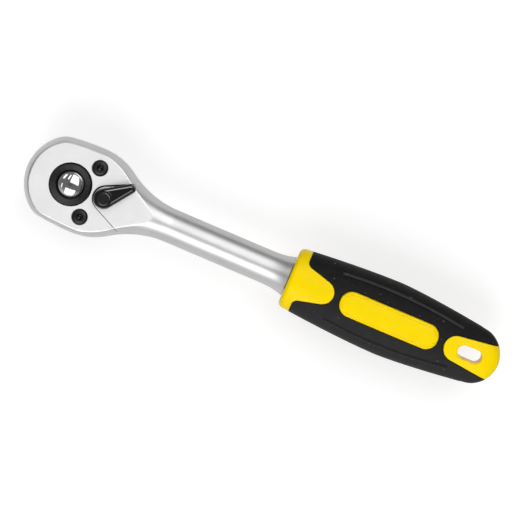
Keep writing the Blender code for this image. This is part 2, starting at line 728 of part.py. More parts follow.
def button_spring():
    margin = BUTTON_SPRING_WIRE + SEAT_GAP
    path = helix(BUTTON_SPRING_RADIUS, SPRING_SHELF + margin, FLANGE_BOTTOM - margin,
                 BUTTON_SPRING_TURNS)
    print_least_gap("button_spring", path, BUTTON_SPRING_WIRE)
    part(tube("button_spring", path, BUTTON_SPRING_WIRE), SPRING_STEEL)


# Reversing lever, its shaft, the plunger and the pawl. The first three share the lever's frame.

def reverse_lever(frame):
    rise = LEVER_TOP - LEVER_CHAMFER
    discs = []
    for x, radius in ((0.0, LEVER_HUB_RADIUS), (LEVER_LENGTH, LEVER_TIP_RADIUS)):
        discs += [(x, 0.0, LEVER_BOTTOM, radius), (x, 0.0, rise, radius),
                  (x, 0.0, LEVER_TOP, radius - LEVER_CHAMFER)]
    lever = hull("reverse_lever", discs, SHAFT_SEGMENTS, frame)
    channel = []
    for height in (LEVER_TOP - LEVER_CHANNEL_DEPTH, ABOVE_ALL):
        channel += [(0.0, 0.0, height, LEVER_HUB_RADIUS - LEVER_RIM),
                    (LEVER_LENGTH, 0.0, height, LEVER_TIP_RADIUS - LEVER_RIM)]
    cut(lever, hull("lever_channel", channel, SHAFT_SEGMENTS, frame), "MANIFOLD")
    boss = cylinder("lever_boss", LEVER_BOSS_RADIUS, LEVER_BOTTOM + LEVER_CHAMFER, LEVER_TOP,
                    SHAFT_SEGMENTS, frame=frame)
    combine(lever, boss, "UNION", "MANIFOLD")
    cut(lever, cylinder("lever_bore", LEVER_SHAFT_RADIUS + RUNNING_GAP, BODY_BOTTOM, ABOVE_ALL,
                        SHAFT_SEGMENTS, frame=frame), "MANIFOLD")
    cut(lever, cylinder("shaft_head_seat", SHAFT_HEAD_RADIUS + RUNNING_GAP, LEVER_TOP - SHAFT_HEAD_SEAT,
                        ABOVE_ALL, SHAFT_SEGMENTS, frame=frame), "MANIFOLD")
    part(lever, BLACK_OXIDE)


def plunger_tip():
    """How far the plunger stands from the lever's axis when it just clears the pawl's crest."""
    return PAWL_HEEL_RADIUS - PAWL_HEEL_WALL - PAWL_CREST - RUNNING_GAP


def lever_shaft(frame):
    head_bottom = LEVER_TOP - SHAFT_HEAD_SEAT + SEAT_GAP
    head_top = head_bottom + SHAFT_HEAD_THICKNESS
    bottom = SHAFT_BORE_BOTTOM + SEAT_GAP
    edge = SHAFT_HEAD_EDGE
    profile = [(0.0, head_top), (SHAFT_HEAD_RADIUS - edge, head_top), (SHAFT_HEAD_RADIUS, head_top - edge),
               (SHAFT_HEAD_RADIUS, head_bottom), (LEVER_SHAFT_RADIUS, head_bottom),
               (LEVER_SHAFT_RADIUS, bottom), (0.0, bottom)]
    shaft = turned("lever_shaft", profile, SHAFT_SEGMENTS, frame)
    back = plunger_tip() - PLUNGER_LENGTH
    spring_length = PLUNGER_SPRING_TURNS * PLUNGER_SPRING_PITCH
    depth = back - spring_length - 2 * (SEAT_GAP + PLUNGER_SPRING_WIRE)
    hole = cylinder("plunger_bore", PLUNGER_RADIUS + RUNNING_GAP, depth, LEVER_HUB_RADIUS, SMALL_SEGMENTS,
                    frame=frame)
    lay_along_lever(hole)
    cut(shaft, hole)
    part(shaft, BLACK_OXIDE)
    coil = helix(PLUNGER_SPRING_RADIUS, depth + SEAT_GAP + PLUNGER_SPRING_WIRE,
                 back - SEAT_GAP - PLUNGER_SPRING_WIRE, PLUNGER_SPRING_TURNS)
    print_least_gap("plunger_spring", coil, PLUNGER_SPRING_WIRE)
    spring = tube("plunger_spring", coil, PLUNGER_SPRING_WIRE, frame)
    lay_along_lever(spring)
    part(spring, SPRING_STEEL)


def lay_along_lever(obj):
    """Turn a piece modelled along Z to lie along the lever, at the plunger's height."""
    obj.location = (0.0, 0.0, PLUNGER_HEIGHT)
    obj.rotation_euler = (0.0, math.pi / 2, 0.0)


def detent_plunger(frame):
    tip = plunger_tip()
    profile = []
    for i in range(PLUNGER_NOSE_STEPS + 1):
        angle = math.pi / 2 * (1 - i / PLUNGER_NOSE_STEPS)
        profile.append((PLUNGER_RADIUS * math.cos(angle), tip - PLUNGER_NOSE * (1 - math.sin(angle))))
    back = tip - PLUNGER_LENGTH
    profile += [(PLUNGER_RADIUS, back), (0.0, back)]
    plunger = turned("detent_plunger", profile, SMALL_SEGMENTS, frame)
    lay_along_lever(plunger)
    part(plunger, SPRING_STEEL)


def pawl_cavity():
    """The shaft's bore, opened behind into a cam that has a crest between two valleys."""
    bore = LEVER_SHAFT_RADIUS + RUNNING_GAP
    valley = PAWL_HEEL_RADIUS - PAWL_HEEL_WALL
    swing = LEVER_REST + PAWL_ROCK
    opening = swing + math.asin((PLUNGER_RADIUS + SEAT_GAP) / bore)
    cam = []
    for i in range(CAM_STEPS + 1):
        angle = opening * (2 * i / CAM_STEPS - 1)
        crest = PAWL_CREST * (1 + math.cos(math.pi * min(abs(angle) / swing, 1.0))) / 2
        cam.append(((valley - crest) * math.cos(angle), (valley - crest) * math.sin(angle)))
    return cam + arc(0.0, 0.0, bore, opening, 2 * math.pi - opening, LONG_ARC_STEPS)


def pawl(frame):
    """Both ends are cut by the gear as it stands when that end is tipped into mesh."""
    end_radius = GEAR_TIP_RADIUS + PAWL_END_SET
    end_x = end_radius * math.cos(PAWL_END_ANGLE) - LEVER_X
    end_y = end_radius * math.sin(PAWL_END_ANGLE)
    discs = []
    for height in (PAWL_BOTTOM, PAWL_TOP):
        discs += [(0.0, 0.0, height, PAWL_HEEL_RADIUS), (end_x, end_y, height, PAWL_END_RADIUS),
                  (end_x, -end_y, height, PAWL_END_RADIUS)]
    rocker = hull("pawl", discs, COLLAR_SEGMENTS, frame)
    combine(rocker, cylinder("pawl_reach", PAWL_REACH, BODY_BOTTOM, PLATE_TOP, COLLAR_SEGMENTS, frame=frame),
            "INTERSECT")
    teeth = gear_outline(GEAR_TIP_RADIUS + MESH_GAP, PAWL_PLAIN_ANGLE)
    for name, turn in (("mesh_lower", PAWL_ROCK), ("mesh_upper", -PAWL_ROCK)):
        spin = Matrix.Rotation(turn, 2)
        tipped = [tuple(spin @ Vector((x - LEVER_X, y))) for x, y in teeth]
        cut(rocker, prism(name, [tipped], BODY_BOTTOM, PLATE_TOP, frame))
    cut(rocker, prism("pawl_cavity", [pawl_cavity()], BODY_BOTTOM, PLATE_TOP, frame))
    part(rocker, SPRING_STEEL)


# Grip

def grip_half_width(x, inset):
    along = x - GRIP_FRONT
    if along < GRIP_WIDEST:
        taper = GRIP_FRONT_TAPER * (1 - along / GRIP_WIDEST) ** GRIP_FRONT_TAPER_POWER
    else:
        rear = GRIP_END_CENTRE - GRIP_FRONT - GRIP_WIDEST
        taper = GRIP_REAR_TAPER * ((along - GRIP_WIDEST) / rear) ** GRIP_REAR_TAPER_POWER
    width = GRIP_HALF_WIDTH - taper - lip_round(along) - inset
    past = x - GRIP_END_CENTRE
    if past > 0.0:
        end = math.sqrt(max((GRIP_END_RADIUS - inset) ** 2 - past * past, 0.0))
        width = smooth_min(width, end, GRIP_END_BLEND)
    return width


def grip_half_height(x, inset):
    along = x - GRIP_FRONT
    if along < GRIP_THICKEST:
        thinning = GRIP_FRONT_THINNING * (1 - along / GRIP_THICKEST) ** GRIP_FRONT_THINNING_POWER
    else:
        rear = GRIP_END_CENTRE - GRIP_FRONT - GRIP_THICKEST
        thinning = GRIP_REAR_THINNING * ((along - GRIP_THICKEST) / rear) ** GRIP_REAR_THINNING_POWER
    height = GRIP_HALF_HEIGHT - thinning - lip_round(along) - inset
    past = max((x - GRIP_END_CENTRE) / (GRIP_END_RADIUS - inset), 0.0)
    return height * max(1.0 - past ** GRIP_END_SQUARENESS, 0.0) ** (1.0 / GRIP_END_SQUARENESS)


def lip_round(along):
    short = max(GRIP_LIP - along, 0.0)
    return GRIP_LIP - math.sqrt(GRIP_LIP ** 2 - short * short)


def grip_section(x, inset):
    width = grip_half_width(x, inset)
    height = grip_half_height(x, inset)
    points = HIDDEN_SECTION_POINTS if inset > 0.0 else GRIP_SECTION_POINTS
    ring = []
    for i in range(points):
        angle = 2 * math.pi * (i + 0.5) / points
        c = math.cos(angle)
        s = math.sin(angle)
        y = width * math.copysign(abs(c) ** (2 / GRIP_SQUARENESS), c)
        z = height * math.copysign(abs(s) ** (2 / GRIP_SQUARENESS), s)
        ring.append((x, y, MID_HEIGHT + z))
    return ring


def grip_form(name, inset, start=0.0):
    """The grip's outside, or a skin set in from it, from a distance behind its front face."""
    lip = [GRIP_LIP * (1 - math.cos(math.radians(a))) for a in LIP_ANGLES]
    span = GRIP_END_CENTRE - GRIP_FRONT
    middle = [GRIP_LIP + (span - GRIP_LIP) * i / GRIP_STEPS for i in range(1, GRIP_STEPS + 1)]
    reach = GRIP_END_RADIUS - inset
    end = [span + reach * math.sin(math.radians(a)) for a in GRIP_END_ANGLES]
    stations = [start] + [s for s in lip + middle + end if s > start + MERGE_DISTANCE]
    return loft(name, [grip_section(GRIP_FRONT + s, inset) for s in stations])


def collar_window(grow):
    """The front collar and its tongue, seen from above."""
    tip_x = TONGUE_TIP - TONGUE_TIP_RADIUS
    radius = TONGUE_TIP_RADIUS + grow
    edge = GRIP_FRONT + COLLAR_LENGTH + grow
    fillet = TONGUE_ROOT_FILLET - grow
    touch_x = tip_x + radius * math.sin(TONGUE_TAPER)
    touch_y = radius * math.cos(TONGUE_TAPER)
    root_x = edge + fillet
    root_y = touch_y + (touch_x - root_x) * math.tan(TONGUE_TAPER) + fillet / math.cos(TONGUE_TAPER)
    wide = 2 * GRIP_HALF_WIDTH
    front = GRIP_FRONT - wide
    tip = arc(tip_x, 0.0, radius, 0.0, math.pi / 2 - TONGUE_TAPER)
    root = arc(root_x, root_y, fillet, 1.5 * math.pi - TONGUE_TAPER, math.pi)
    return mirrored(tip + root + [(edge, wide), (front, wide)])


def panel_window(grow):
    start = TONGUE_TIP + BRIDGE_WIDTH - grow
    end = END_TONGUE_TIP - BRIDGE_WIDTH + grow
    half = PANEL_HALF_WIDTH + grow
    corner = PANEL_CORNER + grow
    back = arc(end - corner, half - corner, corner, 0.0, math.pi / 2)
    front = arc(start + corner, half - corner, corner, math.pi / 2, math.pi)
    return mirrored(back + front)


def end_window(grow):
    """The end cap and its tongue, seen from above."""
    radius = END_TONGUE_RADIUS + grow
    tip_x = END_TONGUE_TIP + END_TONGUE_RADIUS
    tip = arc(tip_x, 0.0, radius, math.pi / 2 + END_TONGUE_TAPER, math.pi)
    far = GRIP_END + GRIP_HALF_WIDTH
    far_y = tip[0][1] + (far - tip[0][0]) * math.tan(END_TONGUE_TAPER)
    return mirrored([(far, far_y)] + tip)


def window_prism(name, outline):
    reach = 2 * GRIP_HALF_HEIGHT
    return prism(name, [outline], MID_HEIGHT - reach, MID_HEIGHT + reach)


def rib_path(side, face):
    """A raised line on the sleeve that bows outwards with the grip."""
    path = []
    for i in range(RIB_STEPS + 1):
        share = i / RIB_STEPS
        x = GRIP_FRONT + RIB_FRONT + (RIB_BACK - RIB_FRONT) * share
        y = RIB_SPREAD - RIB_BOW * (2 * (share - RIB_WIDEST_SHARE)) ** 2
        width = grip_half_width(x, 0.0)
        height = grip_half_height(x, 0.0)
        rise = height * (1 - (y / width) ** GRIP_SQUARENESS) ** (1 / GRIP_SQUARENESS)
        path.append(Vector((x, side * y, MID_HEIGHT + face * rise)))
    return path


def grip_sleeve():
    sleeve = grip_form("grip_sleeve", 0.0)
    for side_name, side in (("upper", 1), ("lower", -1)):
        for face_name, face in (("top", 1), ("bottom", -1)):
            join(sleeve, tube(f"rib_{side_name}_{face_name}", rib_path(side, face), RIB_RADIUS))
    cut(sleeve, grip_form("sleeve_hollow", SLEEVE_WALL))
    cut(sleeve, window_prism("collar_opening", collar_window(SEAT_GAP)))
    cut(sleeve, window_prism("panel_opening", panel_window(SEAT_GAP)))
    cut(sleeve, window_prism("end_opening", end_window(SEAT_GAP)))
    part(sleeve, BLACK_RUBBER)


def grip_core():
    core = grip_form("grip_core", SLEEVE_WALL + SEAT_GAP, GRIP_LIP)
    faces = (("collar", 0.0, collar_window(0.0)), ("panel", -PANEL_RISE, panel_window(0.0)),
             ("end_cap", 0.0, end_window(0.0)))
    for name, inset, outline in faces:
        face = grip_form(name + "_face", inset)
        combine(face, window_prism(name + "_window", outline), "INTERSECT")
        join(core, face)
    half = Vector((0.0, TANG_WIDTH / 2 + SEAT_GAP, TANG_HEIGHT / 2 + SEAT_GAP))
    low = Vector((NECK_END - TANG_ROOT, 0.0, MID_HEIGHT)) - half
    high = Vector((TANG_END + SEAT_GAP, 0.0, MID_HEIGHT)) + half
    cut(core, block("tang_socket", low, high, TANG_EDGE))
    radius = SLOT_WIDTH / 2
    straight = SLOT_LENGTH / 2 - radius
    slot = arc(SLOT_X + straight, 0.0, radius, 0.0, math.pi / 2)
    slot += arc(SLOT_X - straight, 0.0, radius, math.pi / 2, math.pi)
    cut(core, window_prism("hanging_slot", mirrored(slot)))
    part(core, YELLOW_PLASTIC)


clear_scene()
PARTS = new_collection("reversible_ratchet")
CUTTERS = new_collection("cutters")

SATIN_CHROME = material("satin_chrome", (0.78, 0.78, 0.78), 0.32, 1.0)
POLISHED_CHROME = material("polished_chrome", (0.85, 0.85, 0.86), 0.08, 1.0)
BLACK_OXIDE = material("black_oxide_steel", (0.03, 0.03, 0.032), 0.45, 0.6)
SPRING_STEEL = material("spring_steel", (0.45, 0.45, 0.46), 0.35, 1.0)
YELLOW_PLASTIC = material("yellow_plastic", (0.98, 0.72, 0.0), 0.38, 0.0)
BLACK_RUBBER = material("black_rubber", (0.02, 0.02, 0.02), 0.7, 0.0)

LEVER_FRAME = axis_empty("lever_axis", (LEVER_X, 0.0, 0.0), LEVER_REST)
PAWL_FRAME = axis_empty("pawl_axis", (LEVER_X, 0.0, 0.0), -PAWL_ROCK)

ratchet_body()
cover_plate()
cover_screws()
drive_gear()
release_button()
detent_ball()
button_snap_ring()
button_spring()
reverse_lever(LEVER_FRAME)
lever_shaft(LEVER_FRAME)
detent_plunger(LEVER_FRAME)
pawl(PAWL_FRAME)
grip_sleeve()
grip_core()
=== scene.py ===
import json
from math import acos, atan2, copysign, cos, pi, radians, sin, sqrt, tan

import bmesh
import bpy
from mathutils import Matrix, Vector


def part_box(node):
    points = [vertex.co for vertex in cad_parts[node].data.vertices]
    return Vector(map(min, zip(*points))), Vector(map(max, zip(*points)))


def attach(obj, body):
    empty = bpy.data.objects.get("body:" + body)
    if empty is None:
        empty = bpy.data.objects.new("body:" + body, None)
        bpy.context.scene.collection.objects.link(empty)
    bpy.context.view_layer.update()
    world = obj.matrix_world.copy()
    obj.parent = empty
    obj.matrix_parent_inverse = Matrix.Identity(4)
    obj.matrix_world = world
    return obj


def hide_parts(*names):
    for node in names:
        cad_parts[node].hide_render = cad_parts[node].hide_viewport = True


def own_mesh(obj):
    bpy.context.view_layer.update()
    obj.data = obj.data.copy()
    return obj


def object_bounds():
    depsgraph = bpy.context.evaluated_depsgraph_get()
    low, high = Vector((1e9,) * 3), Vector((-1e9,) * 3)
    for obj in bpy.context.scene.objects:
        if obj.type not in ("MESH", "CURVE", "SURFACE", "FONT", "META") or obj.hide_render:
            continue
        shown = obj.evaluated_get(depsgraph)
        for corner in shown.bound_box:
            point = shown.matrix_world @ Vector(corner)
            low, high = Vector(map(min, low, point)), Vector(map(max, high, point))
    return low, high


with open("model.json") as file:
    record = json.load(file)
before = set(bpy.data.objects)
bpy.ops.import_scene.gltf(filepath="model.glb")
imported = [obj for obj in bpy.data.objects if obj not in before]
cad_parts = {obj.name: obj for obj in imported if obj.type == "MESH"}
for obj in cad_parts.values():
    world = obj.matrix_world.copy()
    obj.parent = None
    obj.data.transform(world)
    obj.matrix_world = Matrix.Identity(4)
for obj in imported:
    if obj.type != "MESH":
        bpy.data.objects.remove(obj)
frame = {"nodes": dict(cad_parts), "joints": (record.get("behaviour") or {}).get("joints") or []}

# The looks of a reversible ratchet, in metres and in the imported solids' frame

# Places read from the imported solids
CAD_LOW, CAD_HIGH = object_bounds()
BODY_LOW, BODY_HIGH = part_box("ratchet_body")
PLATE_LOW, PLATE_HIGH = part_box("cover_plate")
SCREW_LOW, SCREW_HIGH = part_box("cover_screw_upper")
DRIVE_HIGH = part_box("drive_gear")[1]
RING_LOW, RING_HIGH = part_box("button_snap_ring")
COIL_LOW, COIL_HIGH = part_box("button_spring")
BUTTON_LOW, BUTTON_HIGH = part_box("release_button")
BALL_LOW, BALL_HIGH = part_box("detent_ball")
LEVER_LOW, LEVER_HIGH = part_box("reverse_lever")
SHAFT_LOW, SHAFT_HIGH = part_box("lever_shaft")
CORE_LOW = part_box("grip_core")[0]
JOINTS = {joint["name"]: joint for joint in frame["joints"]}
BUTTON_TRAVEL = JOINTS["button_press"]["range_m"][1]
LEVER_X = JOINTS["lever_turn"]["pos_m"][0]
PLUNGER_AXIS = Vector(JOINTS["plunger_slide"]["axis"])
LEVER_REST = atan2(PLUNGER_AXIS.y, PLUNGER_AXIS.x)

# Head and neck
PLATE_TOP = PLATE_HIGH.z
BODY_BOTTOM = BODY_LOW.z
MID_HEIGHT = (PLATE_TOP + BODY_BOTTOM) / 2
HALF_HEIGHT = PLATE_TOP - MID_HEIGHT
HEAD_HALF_WIDTH = BODY_HIGH.y
NOSE_RADIUS = 0.0234
NOSE_BLEND = 0.0012
SIDE_RADIUS = 0.139
HEAD_CROWN = 0.00665
SHOULDER_X = 0.0087
SHOULDER_RADIUS = 0.031
NECK_FILLET = 0.0476
NECK_HALF_WIDTH = 0.00835
NECK_HALF_HEIGHT = 0.0084
CROWN_TAPER_X = 0.012
CROWN_TAPER_START = 1.2
CROWN_TAPER_END = 1.4
HEAD_SQUARENESS = 2.6
NECK_SQUARENESS = 2.0
FLARE_LENGTH = 0.014
FLARE_WIDTH = 0.00185
FLARE_HEIGHT = 0.0015
FLARE_ROLL = 0.0003
FLARE_CURVE = 3
EDGE_DROP = 0.0003
EDGE_WIDTH = 0.0007
EDGE_BREAK = 0.00012
SEAM = 0.0003
COVER_SHIFT = (-0.0002, 0.0002)
WEDGE_SHIFT = (0.00015, -0.00008)
FIT = 0.00008
SOCKET_GAP = 0.0003
BODY_SEAT = PLATE_LOW.z - SOCKET_GAP
SHOULDER_SPAN = SHOULDER_RADIUS + NECK_FILLET
SHOULDER_TURN = acos(1 - (HEAD_HALF_WIDTH - NECK_HALF_WIDTH) / SHOULDER_SPAN)
NECK_START = SHOULDER_X + SHOULDER_SPAN * sin(SHOULDER_TURN)
NECK_END = CORE_LOW.x - SOCKET_GAP
FLARE_START = NECK_END - FLARE_LENGTH
WEDGE_OFFSET = 0.0007
WEDGE_X = LEVER_X + WEDGE_OFFSET
WEDGE_RADIUS = 0.0061
WEDGE_BEVEL = 0.0002
WEDGE_DROP = 0.00005
WEDGE_ANGLE = radians(25.8)
TANG_HALF_WIDTH = 0.0065
TANG_HALF_HEIGHT = 0.0045
TANG_ROOT = 0.006
ABOVE = CAD_HIGH.z + HALF_HEIGHT
# Painted shade in the seam round the lever's wedge: its reach and fade from the lever, the heights it lies
# between, and how dark it makes the chrome
SEAM_SHADE_REACH = 0.0125
SEAM_SHADE_FADE = 0.002
SEAM_SHADE_DEEP = 0.0004
SEAM_SHADE_SHALLOW = 0.00015
SEAM_SHADE_FLOOR = 0.0001
SEAM_SHADE_TONE = 0.04
FLAT_FACING = (0.992, 0.998)
FLAT_END = 0.0455
FLAT_FADE = 0.0012
FLAT_TONE = 0.76
FLAT_ROUGHNESS = 0.48
SIDE_TONE = 0.55
SIDE_ROUGHNESS = 0.39

# Drive, button and screws
GEAR_TIP_RADIUS = DRIVE_HIGH.x
GEAR_GAP = 0.0002
GEAR_POCKET_RADIUS = GEAR_TIP_RADIUS + GEAR_GAP
GEAR_TEETH = 72
TOOTH_DEPTH = 0.0006
TOOTH_LAND = 0.2
TOOTH_SLIMMING = 0.98
GEAR_BOTTOM = 0.0201
GEAR_TOP = 0.0322
JOURNAL_RADIUS = 0.0105
JOURNAL_EDGE = 0.0005
RUNNING_GAP = 0.00015
COLLAR_TOP = DRIVE_HIGH.z
COLLAR_EDGE = 0.00045
COLLAR_STEP = 0.0004
COLLAR_RADIUS = JOURNAL_RADIUS - COLLAR_STEP
DRIVE_HALF = 0.00635
DRIVE_LENGTH = 0.0155
DRIVE_BEVEL = 0.0009
BUTTON_RADIUS = 0.0058
BUTTON_FLANGE_RADIUS = BUTTON_HIGH.x
BUTTON_FLANGE_EDGE = 0.0001
BUTTON_BORE_RADIUS = BUTTON_FLANGE_RADIUS + SOCKET_GAP
BUTTON_DOME = 0.0017
SPRING_WIRE = 0.00045
SPRING_RADIUS = 0.0052
SPRING_TURNS = 4.0
SNAP_RING_Z = (RING_LOW.z + RING_HIGH.z) / 2
SNAP_RING_RADIUS = 0.00665
SNAP_RING_OPENING = radians(40)
SPRING_SHELF = COIL_LOW.z - SOCKET_GAP
PIN_RADIUS = 0.00285
PIN_SHOULDER_Z = 0.0121
PIN_WAIST_RADIUS = 0.00106
PIN_WAIST_TOP = 0.0106
PIN_WAIST_BOTTOM = 0.0100
PIN_CONE_RADIUS = 0.00256
BALL_CENTRE = (BALL_LOW + BALL_HIGH) / 2
BALL_RADIUS = (BALL_HIGH.z - BALL_LOW.z) / 2
BALL_PROUD = 0.0008
BALL_LIP = 0.001
SCREW_X = (SCREW_LOW.x + SCREW_HIGH.x) / 2
SCREW_Y = (SCREW_LOW.y + SCREW_HIGH.y) / 2
SCREW_HEAD_RADIUS = 0.0039
SCREW_RADIUS = 0.0020
SCREW_SOCKET_RADIUS = 0.0017
SCREW_SOCKET_DEPTH = 0.0024
SCREW_POINT_RADIUS = 0.0007
SCREW_EDGE = 0.0002
SCREW_TURN = radians(22)
OIL_FADE = 0.0002
OILED_SHARE = 0.25

# Lever
LEVER_BOTTOM = LEVER_LOW.z
LEVER_TOP = LEVER_HIGH.z
LEVER_HUB_RADIUS = 0.0050
LEVER_TIP_RADIUS = 0.0024
LEVER_LENGTH = 0.0141
LEVER_ROLL = 0.00055
LEVER_EDGE = 0.0002
LEVER_RIM = 0.0012
LEVER_CHANNEL_DEPTH = 0.0017
LEVER_CHANNEL_ROUND = 0.0005
LEVER_CHANNEL_DRAFT = 0.0006
LEVER_BOSS_RADIUS = 0.0041
LEVER_SHARP = radians(14)
LEVER_SHAFT_RADIUS = 0.0029
SHAFT_HEAD_RADIUS = 0.0033
SHAFT_HEAD_SEAT = 0.0007
SHAFT_EDGE = 0.0003
PAWL_FLOOR = 0.0202
PAWL_CEILING = 0.0295
PAWL_POCKET_RADIUS = 0.0122
PAWL_POCKET_BACK = 0.0073
PLUNGER_BORE_RADIUS = 0.0012
PLUNGER_BORE_DEPTH = 0.0014

# Grip
GRIP_FRONT = CORE_LOW.x
GRIP_LENGTH = 0.1105
GRIP_END = GRIP_FRONT + GRIP_LENGTH
GRIP_END_RADIUS = 0.01435
GRIP_END_CENTRE = GRIP_END - GRIP_END_RADIUS
GRIP_END_BLEND = 0.0005
GRIP_WIDEST = 0.0527
GRIP_HALF_WIDTH = 0.0186
GRIP_FRONT_TAPER = (0.0034, 1.6)
GRIP_REAR_TAPER = (0.0041, 1.4)
GRIP_LIP = 0.0024
GRIP_THICKEST = 0.0447
GRIP_HALF_HEIGHT = 0.0140
GRIP_FRONT_THINNING = (0.0015, 2)
GRIP_REAR_THINNING = (0.0050, 1.6)
GRIP_SQUARENESS = 2.4
GRIP_END_SQUARENESS = 4.0
SLEEVE_WALL = 0.0022
CORE_GAP = 0.0002
WINDOW_GAP = 0.00012
PANEL_RISE = 0.0003
PANEL_HALF_WIDTH = 0.0064
PANEL_CORNER = 0.0061
COLLAR_LENGTH = 0.0060
TONGUE_LENGTH = 0.0234
TONGUE_TIP = GRIP_FRONT + TONGUE_LENGTH
TONGUE_TIP_RADIUS = 0.0059
TONGUE_TAPER = radians(15)
TONGUE_ROOT_FILLET = 0.0030
BRIDGE_WIDTH = 0.0036
END_TONGUE_LENGTH = 0.0286
END_TONGUE_TIP = GRIP_END - END_TONGUE_LENGTH
END_TONGUE_RADIUS = 0.00635
END_TONGUE_TAPER = radians(7)
RIB_RADIUS = 0.0007
RIB_SPREAD = 0.0136
RIB_FRONT = 0.0234
RIB_BACK = 0.0874
RIB_BOW = 0.0022
RIB_WIDEST_SHARE = 0.4
GROOVE_INSET = 0.0008
GROOVE_RADIUS = 0.00035
PANEL_LINE_INSET = 0.0013
PANEL_LINE_RADIUS = 0.0004
PANEL_LINE_LIFT = 0.0001
SLOT_LENGTH = 0.0124
SLOT_WIDTH = 0.0066
SLOT_FROM_END = 0.0152
SLOT_X = GRIP_END - SLOT_FROM_END
TANG_END = BODY_HIGH.x

# Walls of the grip's windows: each level's height over the skin, and how far the window grows there
OPENING_LEVELS = (
    (-0.001, WINDOW_GAP),
    (-0.0003, WINDOW_GAP),
    (-0.0001, WINDOW_GAP + 0.00012),
    (0.0, WINDOW_GAP + 0.0003),
    (0.0004, WINDOW_GAP + 0.0009),
)
FLUSH_LEVELS = ((-0.0006, 0.0), (-0.0002, -0.00004), (-0.00005, -0.00015), (0.0003, -0.0005))
PILLOW_LEVELS = (
    (-0.0011, 0.0),
    (-0.0006, -0.00008),
    (-0.0003, -0.00024),
    (-0.0001, -0.00055),
    (0.0, -0.0009),
    (0.0003, -0.002),
)
SLOT_LEVELS = ((-0.0012, 0.0), (-0.0006, 0.00006), (-0.00025, 0.0002), (0.0, 0.0006), (0.0004, 0.0014))

# Dust, painted side light and handling marks on the rubber
DUST_SCALE = 420.0
DUST_RAGGED = 0.09
DUST_EDGE = (0.07, 0.17)
DUST_CHOSEN = (0.50, 0.95)
DUST_TONE = 0.15
# Where the painted side light fades from the lighter side to the darker lever's side
SIDE_LIGHT_START = -0.013
SIDE_LIGHT_END = 0.008
HANDLED_TONE = 0.0025
DULL_FADE = 0.002

# Light: each softbox's span of directions along and across the handle, its soft edge and its level
SOFTBOXES = (
    (-0.12, 0.48, 0.04, 0.86, 0.06, 2.6),
    (-0.30, -0.20, 0.16, 0.66, 0.03, 2.2),
    (-0.24, 0.46, -0.84, -0.26, 0.08, 3.3),
    (-0.56, -0.46, -0.45, -0.15, 0.02, 1.65),
    (-0.72, -0.48, 0.14, 0.62, 0.03, 1.65),
    (-0.16, 0.08, -0.14, 0.02, 0.03, -0.07),
)
STUDIO_PALE = 0.78
STUDIO_DIM = 0.19
STUDIO_PALE_END = -0.85
STUDIO_DIM_START = -0.35
HORIZON = (0.05, 0.15)

# Floor: its paint, and how much it adds to that for the camera and in reflections
FLOOR_REACH = 6.0
FLOOR_GAP = 0.0002
FLOOR_PAINT = 0.50
FLOOR_SEEN = 0.58
FLOOR_MIRRORED = 0.44

# Camera
FRAME_WIDTH = 0.2561
LENS = 240.0
SENSOR_WIDTH = 36.0
VIEW_TURN = radians(23.07)
VIEW_TILT = radians(3.5)
AIM = Vector((0.1015, 0.0013, PLATE_TOP))

# Mesh fineness
SECTION_POINTS = 49
NOSE_SWEEP = 62
HALVINGS = 40
TURN_SEGMENTS = 96
SMALL_SEGMENTS = 48
ARC_STEPS = 16
LONG_ARC_STEPS = 64
GRIP_POINTS = 144
GRIP_STEP = 0.0006
FACE_STEP = 0.0007
HIDDEN_POINTS = 48
HIDDEN_STEP = 0.003
COIL_STEPS = 40
COIL_SIDES = 12
LINE_STEPS = 40
LINE_SIDES = 14
MERGE_DISTANCE = 0.000001
SHARP_ANGLE = radians(28)
PATTERN_LOW = 0.3
PATTERN_HIGH = 0.7


# Mesh helpers

def placed(name, data):
    obj = bpy.data.objects.new(name, data)
    bpy.context.scene.collection.objects.link(obj)
    return obj


def tidied(mesh):
    """Merge the poles and seams of a mesh and turn its faces outwards."""
    bm = bmesh.new()
    bm.from_mesh(mesh)
    bmesh.ops.remove_doubles(bm, verts=bm.verts, dist=MERGE_DISTANCE)
    bmesh.ops.recalc_face_normals(bm, faces=bm.faces)
    bm.to_mesh(mesh)
    bm.free()
    return mesh


def skin(name, rings):
    """A closed mesh over rings of equal point counts, with both end rings filled."""
    count = len(rings[0])
    points = [point for ring in rings for point in ring]
    faces = []
    for start in range(0, len(points) - count, count):
        for i in range(count):
            j = (i + 1) % count
            faces.append((start + i, start + j, start + count + j, start + count + i))
    faces.append(tuple(range(count)))
    faces.append(tuple(range(len(points) - count, len(points))))
    mesh = bpy.data.meshes.new(name)
    mesh.from_pydata(points, [], faces)
    return placed(name, tidied(mesh))


def evenly(start, end, steps):
    """Values from start to end, both among them."""
    return [start + (end - start) * i / steps for i in range(steps + 1)]


def full_turn(segments):
    return evenly(0.0, 2 * pi, segments)[:-1]


def turned(name, profile, segments=TURN_SEGMENTS, x=0.0, y=0.0):
    """A profile of (radius, height) points turned about an upright axis, and closed to it at both ends."""
    angles = full_turn(segments)
    closed = [(0.0, profile[0][1])] + profile + [(0.0, profile[-1][1])]
    rings = [[(x + r * cos(a), y + r * sin(a), z) for a in angles] for r, z in closed]
    return skin(name, rings)


def rod(name, radius, low, high, segments=TURN_SEGMENTS, x=0.0, y=0.0):
    """A plain round solid between two heights."""
    return turned(name, [(radius, high), (radius, low)], segments, x, y)


def prism(name, outline, low, high):
    return skin(name, [[(x, y, z) for x, y in outline] for z in (low, high)])


def column(name, outline, levels):
    """An upright solid whose outline grows by a set amount at each height."""
    return skin(name, [[(x, y, z) for x, y in outline(grow)] for z, grow in levels])


